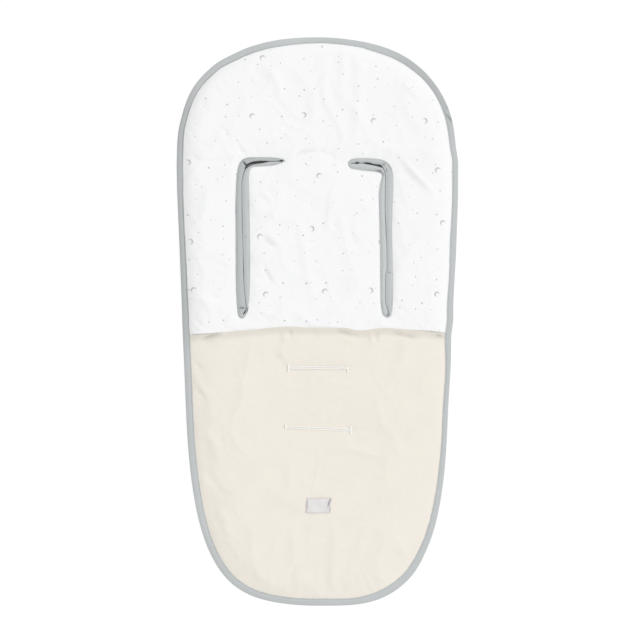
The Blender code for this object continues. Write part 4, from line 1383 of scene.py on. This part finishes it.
for part, replaced in (
    ("upper", ["edge_binding_upper"]),
    ("lower", ["edge_binding_seat_left", "edge_binding_seat_right", "edge_binding_leg"]),
):
    line, normal, width, around = edge_columns(part)
    along = lengths(line)
    sides, cut, joins = [], [], []
    on_axis = np.column_stack([along, 0 * along])
    pucker, slack = ripple(on_axis, 0.0045, 8.8), ripple(on_axis, 0.021, 4.4)
    dome = EDGE_DOME * (1 + 0.8 * slack)
    for share in BINDING_ACROSS:
        from_fold, from_edge = width * share, width * (1 - share)
        height = tape_top(from_fold, from_edge, dome, EDGE_FOLD, 0, EDGE_ROLL, EDGE_SLOPE)
        height += PUCKER * pucker * np.exp(-(((from_edge - PUCKERED) / PUCKER_RUN) ** 2))
        place = on_seam(line + normal * from_fold[:, None])
        join = creased(place, EDGE_JOINS, SHADED)
        height -= JOIN_DEPTH * join
        joins.append(join)
        sides.append(np.column_stack([place, height]))
        cut.append(np.column_stack([along, from_edge]))
    sides.append(np.column_stack([on_seam(line), np.full(len(line), EDGE_FOLD)]))
    cut.append(np.column_stack([along, width]))
    for share in BINDING_UNDER:
        from_fold = width * share
        place = on_seam(line + normal * from_fold[:, None])
        sides.append(np.column_stack([place, tape_bottom(from_fold, EDGE_FOLD, EDGE_ROLL)]))
        cut.append(np.column_stack([along, width + EDGE_ROLL + from_fold]))
    rows, count = len(sides), len(line)
    i, j = np.meshgrid(np.arange(rows - 1), np.arange(count - 1), indexing="ij")
    a = (i * count + j).ravel()
    faces = np.column_stack([a, a + count, a + count + 1, a + 1])
    points, cut = np.concatenate(sides), on_bias(np.concatenate(cut))
    tape = add_mesh(f"edge_tape_{part}", points, faces, cut, tape_grey)
    strength = SEWN_ALL + SEWN_LEFT[part] * np.clip(normal[:, 0], 0, 1)
    strength *= np.clip(0.8 + 0.9 * slack, 0.2, 1.3)
    # Painted shade along the tape
    shade_along_edge = np.where(line[:, 0] > 0, *(eased(around, side, 1) for side in (RIGHT_SHADE, LEFT_SHADE)))
    on_right = ACROSS_SHADE * np.clip(-normal[:, 0], 0, 1)
    shade = [
        strength * sewn_line(width * (1 - share))
        + shade_along_edge
        + on_right * (1 - 2 * share)
        + np.minimum(join, JOIN_MOST)
        for share, join in zip(BINDING_ACROSS, joins)
    ]
    shade += [shade_along_edge] * (1 + len(BINDING_UNDER))
    note_shade(tape, np.concatenate(shade))
    area = sheet_area(tape)
    add_thickness(tape, TAPE, subdivided=False)
    bend_with(tape, part)
    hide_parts(*replaced)

# The stitching. Fine grey thread runs round the edge tape and both slot tapes, a little in
# from their turned edges. It only shows as a faint broken line in its own groove.
ROW = {"Pitch": 0.0030, "Length": 0.0025, "Thread": 0.00042, "Height": 0.0004, "Jitter": 0.05}
ROW_ABOVE = 0.0001  # of the thread's middle over the tape
thread_grey = thread_material("grey_thread", (0.50, 0.53, 0.53))
for part in ("upper", "lower"):
    line, normal, width, _ = edge_columns(part)
    from_fold, from_edge = width - STITCH_IN, np.full(len(line), STITCH_IN)
    height = tape_top(from_fold, from_edge, EDGE_DOME, EDGE_FOLD, 0, EDGE_ROLL, EDGE_SLOPE)
    seam = np.column_stack([on_seam(line + normal * from_fold[:, None]), height + ROW_ABOVE])
    threads = stitch(f"edge_stitching_{part}", [(seam, False)], thread_grey, Seed=3, **ROW)
    bend_with(threads, part)
for side in ("left", "right"):
    row = grown(slot_tapes[side], -STITCH_IN)
    from_fold = distance_to(row, slot_slits[side], True)
    from_edge = np.full(len(row), STITCH_IN)
    height = tape_top(from_fold, from_edge, TAPE_DOME, TOUCH_HEIGHT, SLOT_LIFT) + ROW_ABOVE
    seam = np.column_stack([row, height])
    threads = stitch(f"{side}_slot_stitching", [(seam, True)], thread_grey, Seed=4, **ROW)
    bend_with(threads, "upper")

# The label. A bare piece of satin ribbon, turned under at its left and right ends and sewn
# down there. It follows the padded cloth under it and stands a little off it in the middle.
LABEL_CORNERS = ((-0.0196, -0.2838), (0.0170, -0.2840), (0.0188, -0.2622), (-0.0179, -0.2624))
LABEL_TURN = 0.0050 / 0.037  # share of the label's length that each end is turned under
LABEL_UNDER, LABEL_END = 0.0003, 0.0006  # heights off the cloth: the ends turned under, the folds
LABEL_FACE, LABEL_ARCH = 0.0010, 0.0007  # and the face at its ends, and how far its middle rises
RIBBON = 0.00022
LABEL_ROWS, LABEL_COLUMNS = 19, 33
LABEL_SIZE = (0.0367, 0.0217)
LABEL_SAG, LABEL_FOLD = 0.0004, 0.0009  # the depth of its waves, and of a fold without light
LABEL_LOOSE = 0.0009  # the ribbon is free to wave where it stands this high off the cloth
# The most light that the label's painted shade takes away
LABEL_DARK = 0.65
LABEL_SEWN = 16  # points along each of its two rows of stitches
LABEL_ROWS_AT = (0.055, 0.945)
LABEL_ABOVE = 0.00122  # of their thread over the cloth
LABEL_ROW = {"Pitch": 0.0022, "Length": 0.0018, "Thread": 0.0003, "Height": 0.0003, "Jitter": 0.08}
# Folds and edges of the ribbon that catch little light, from its lower left corner, given as
# the seam's folds are
LABEL_SHADE = (
    ((36, 22.8, 0.5, 0.8), (35.9, 19.5, 0.7, 0.9), (35.4, 16, 0.5, 0.8)),
    ((34.8, 20, 0.3, 0.9), (33.8, 16.5, 0.72, 1.1), (33.4, 13, 0.62, 1.2), (32.5, 9.5, 0.38, 1.1),
     (32.2, 5, 0.15, 1)),
    ((36.2, 10, 0.35, 0.8), (36, 5, 0.6, 0.8), (36, -1, 0.4, 0.8)),
    ((0.2, 22.6, 0.25, 0.9), (0.6, 15, 0.34, 1.1), (1.2, 9, 0.34, 1.2), (0.6, 4, 0.26, 1.2),
     (0.2, -1, 0.2, 1)),
    ((-6, 21.6, 0.22, 0.6), (18, 21.6, 0.24, 0.6), (43, 21.6, 0.22, 0.6)),
    ((-6, 0.2, 0.14, 0.6), (18, 0.2, 0.16, 0.6), (43, 0.2, 0.14, 0.6)),
    ((31, 26, 0.07, 4.5), (31.5, 11, 0.09, 4.5), (31, -4, 0.07, 4.5)),
)


def ribbon_material(name, colour):
    """Satin ribbon: fine ribs across a soft gloss."""
    satin = {"Roughness": 0.42, "Specular IOR Level": 0.35, "Anisotropic": 0.4}
    made, tree, _ = new_material(name, {"Base Color": (*colour, 1), **satin})
    shade_as_noted(made)
    cut = node(tree, "ShaderNodeUVMap", uv_map="cut")
    fine = {"Vector": cut, "Scale": 420, "Distortion": 0.4, "Detail": 1}
    ribs = node(tree, "ShaderNodeTexWave", fine, bands_direction="Y").outputs[1]
    add_relief(tree, ribs, 0.25, 0.0001)
    return made


def on_label(u, v):
    """Plan place at shares u along and v up the label."""
    a, b, c, d = (np.array(corner) for corner in LABEL_CORNERS)
    u, v = u[:, None], v[:, None]
    return a * (1 - u) * (1 - v) + b * u * (1 - v) + c * u * v + d * (1 - u) * v


ribbon = ribbon_material("label_ribbon", (0.785, 0.757, 0.758))
under = (LABEL_TURN, LABEL_TURN * 0.6, LABEL_TURN * 0.25, 0.01)
profile = [(u, LABEL_UNDER) for u in under] + [(-0.006, LABEL_END)]
for u in np.linspace(0, 1, LABEL_COLUMNS):
    profile.append((u, LABEL_FACE + LABEL_ARCH * math.sin(math.pi * u)))
profile += [(1.006, LABEL_END)] + [(1 - u, LABEL_UNDER) for u in under[::-1]]
u, rise = np.array(profile).T
points, cut, shade = [], [], []
for v in np.linspace(0, 1, LABEL_ROWS):
    place = on_label(u, np.full(len(u), v))
    sag = LABEL_SAG * np.sin(2.3 * math.pi * u + 4 * v) * np.sin(math.pi * np.clip(u, 0, 1))
    on_ribbon = np.column_stack([u, np.full(len(u), v)]) * LABEL_SIZE
    lost = creased(on_ribbon, LABEL_SHADE, SHADED)
    waves = np.where(rise > LABEL_LOOSE, sag - LABEL_FOLD * lost, 0)
    points += [(x, y, ecru_height(x, y) + z) for (x, y), z in zip(place, rise + waves)]
    cut += [(step * 0.0012, v * 0.022) for step in range(len(u))]
    shade += np.clip(lost, 0, LABEL_DARK).tolist()
count = len(u)
faces = [
    (r * count + k, r * count + k + 1, (r + 1) * count + k + 1, (r + 1) * count + k)
    for r in range(LABEL_ROWS - 1)
    for k in range(count - 1)
]
label = add_mesh("label_loop", points, faces, cut, ribbon)
note_shade(label, shade)
area = sheet_area(label)
add_thickness(label, RIBBON)
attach(label, "leg_section")
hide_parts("label")
ends = []
for u_at in LABEL_ROWS_AT:
    place = on_label(np.full(LABEL_SEWN, u_at), np.linspace(0.04, 0.96, LABEL_SEWN))
    height = [ecru_height(x, y) + LABEL_ABOVE for x, y in place]
    ends.append((np.column_stack([place, height]), False))
label_thread = thread_material("label_thread", (0.62, 0.60, 0.60))
sewing = stitch("label_stitching", ends, label_thread, Seed=6, **LABEL_ROW)
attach(sewing, "leg_section")
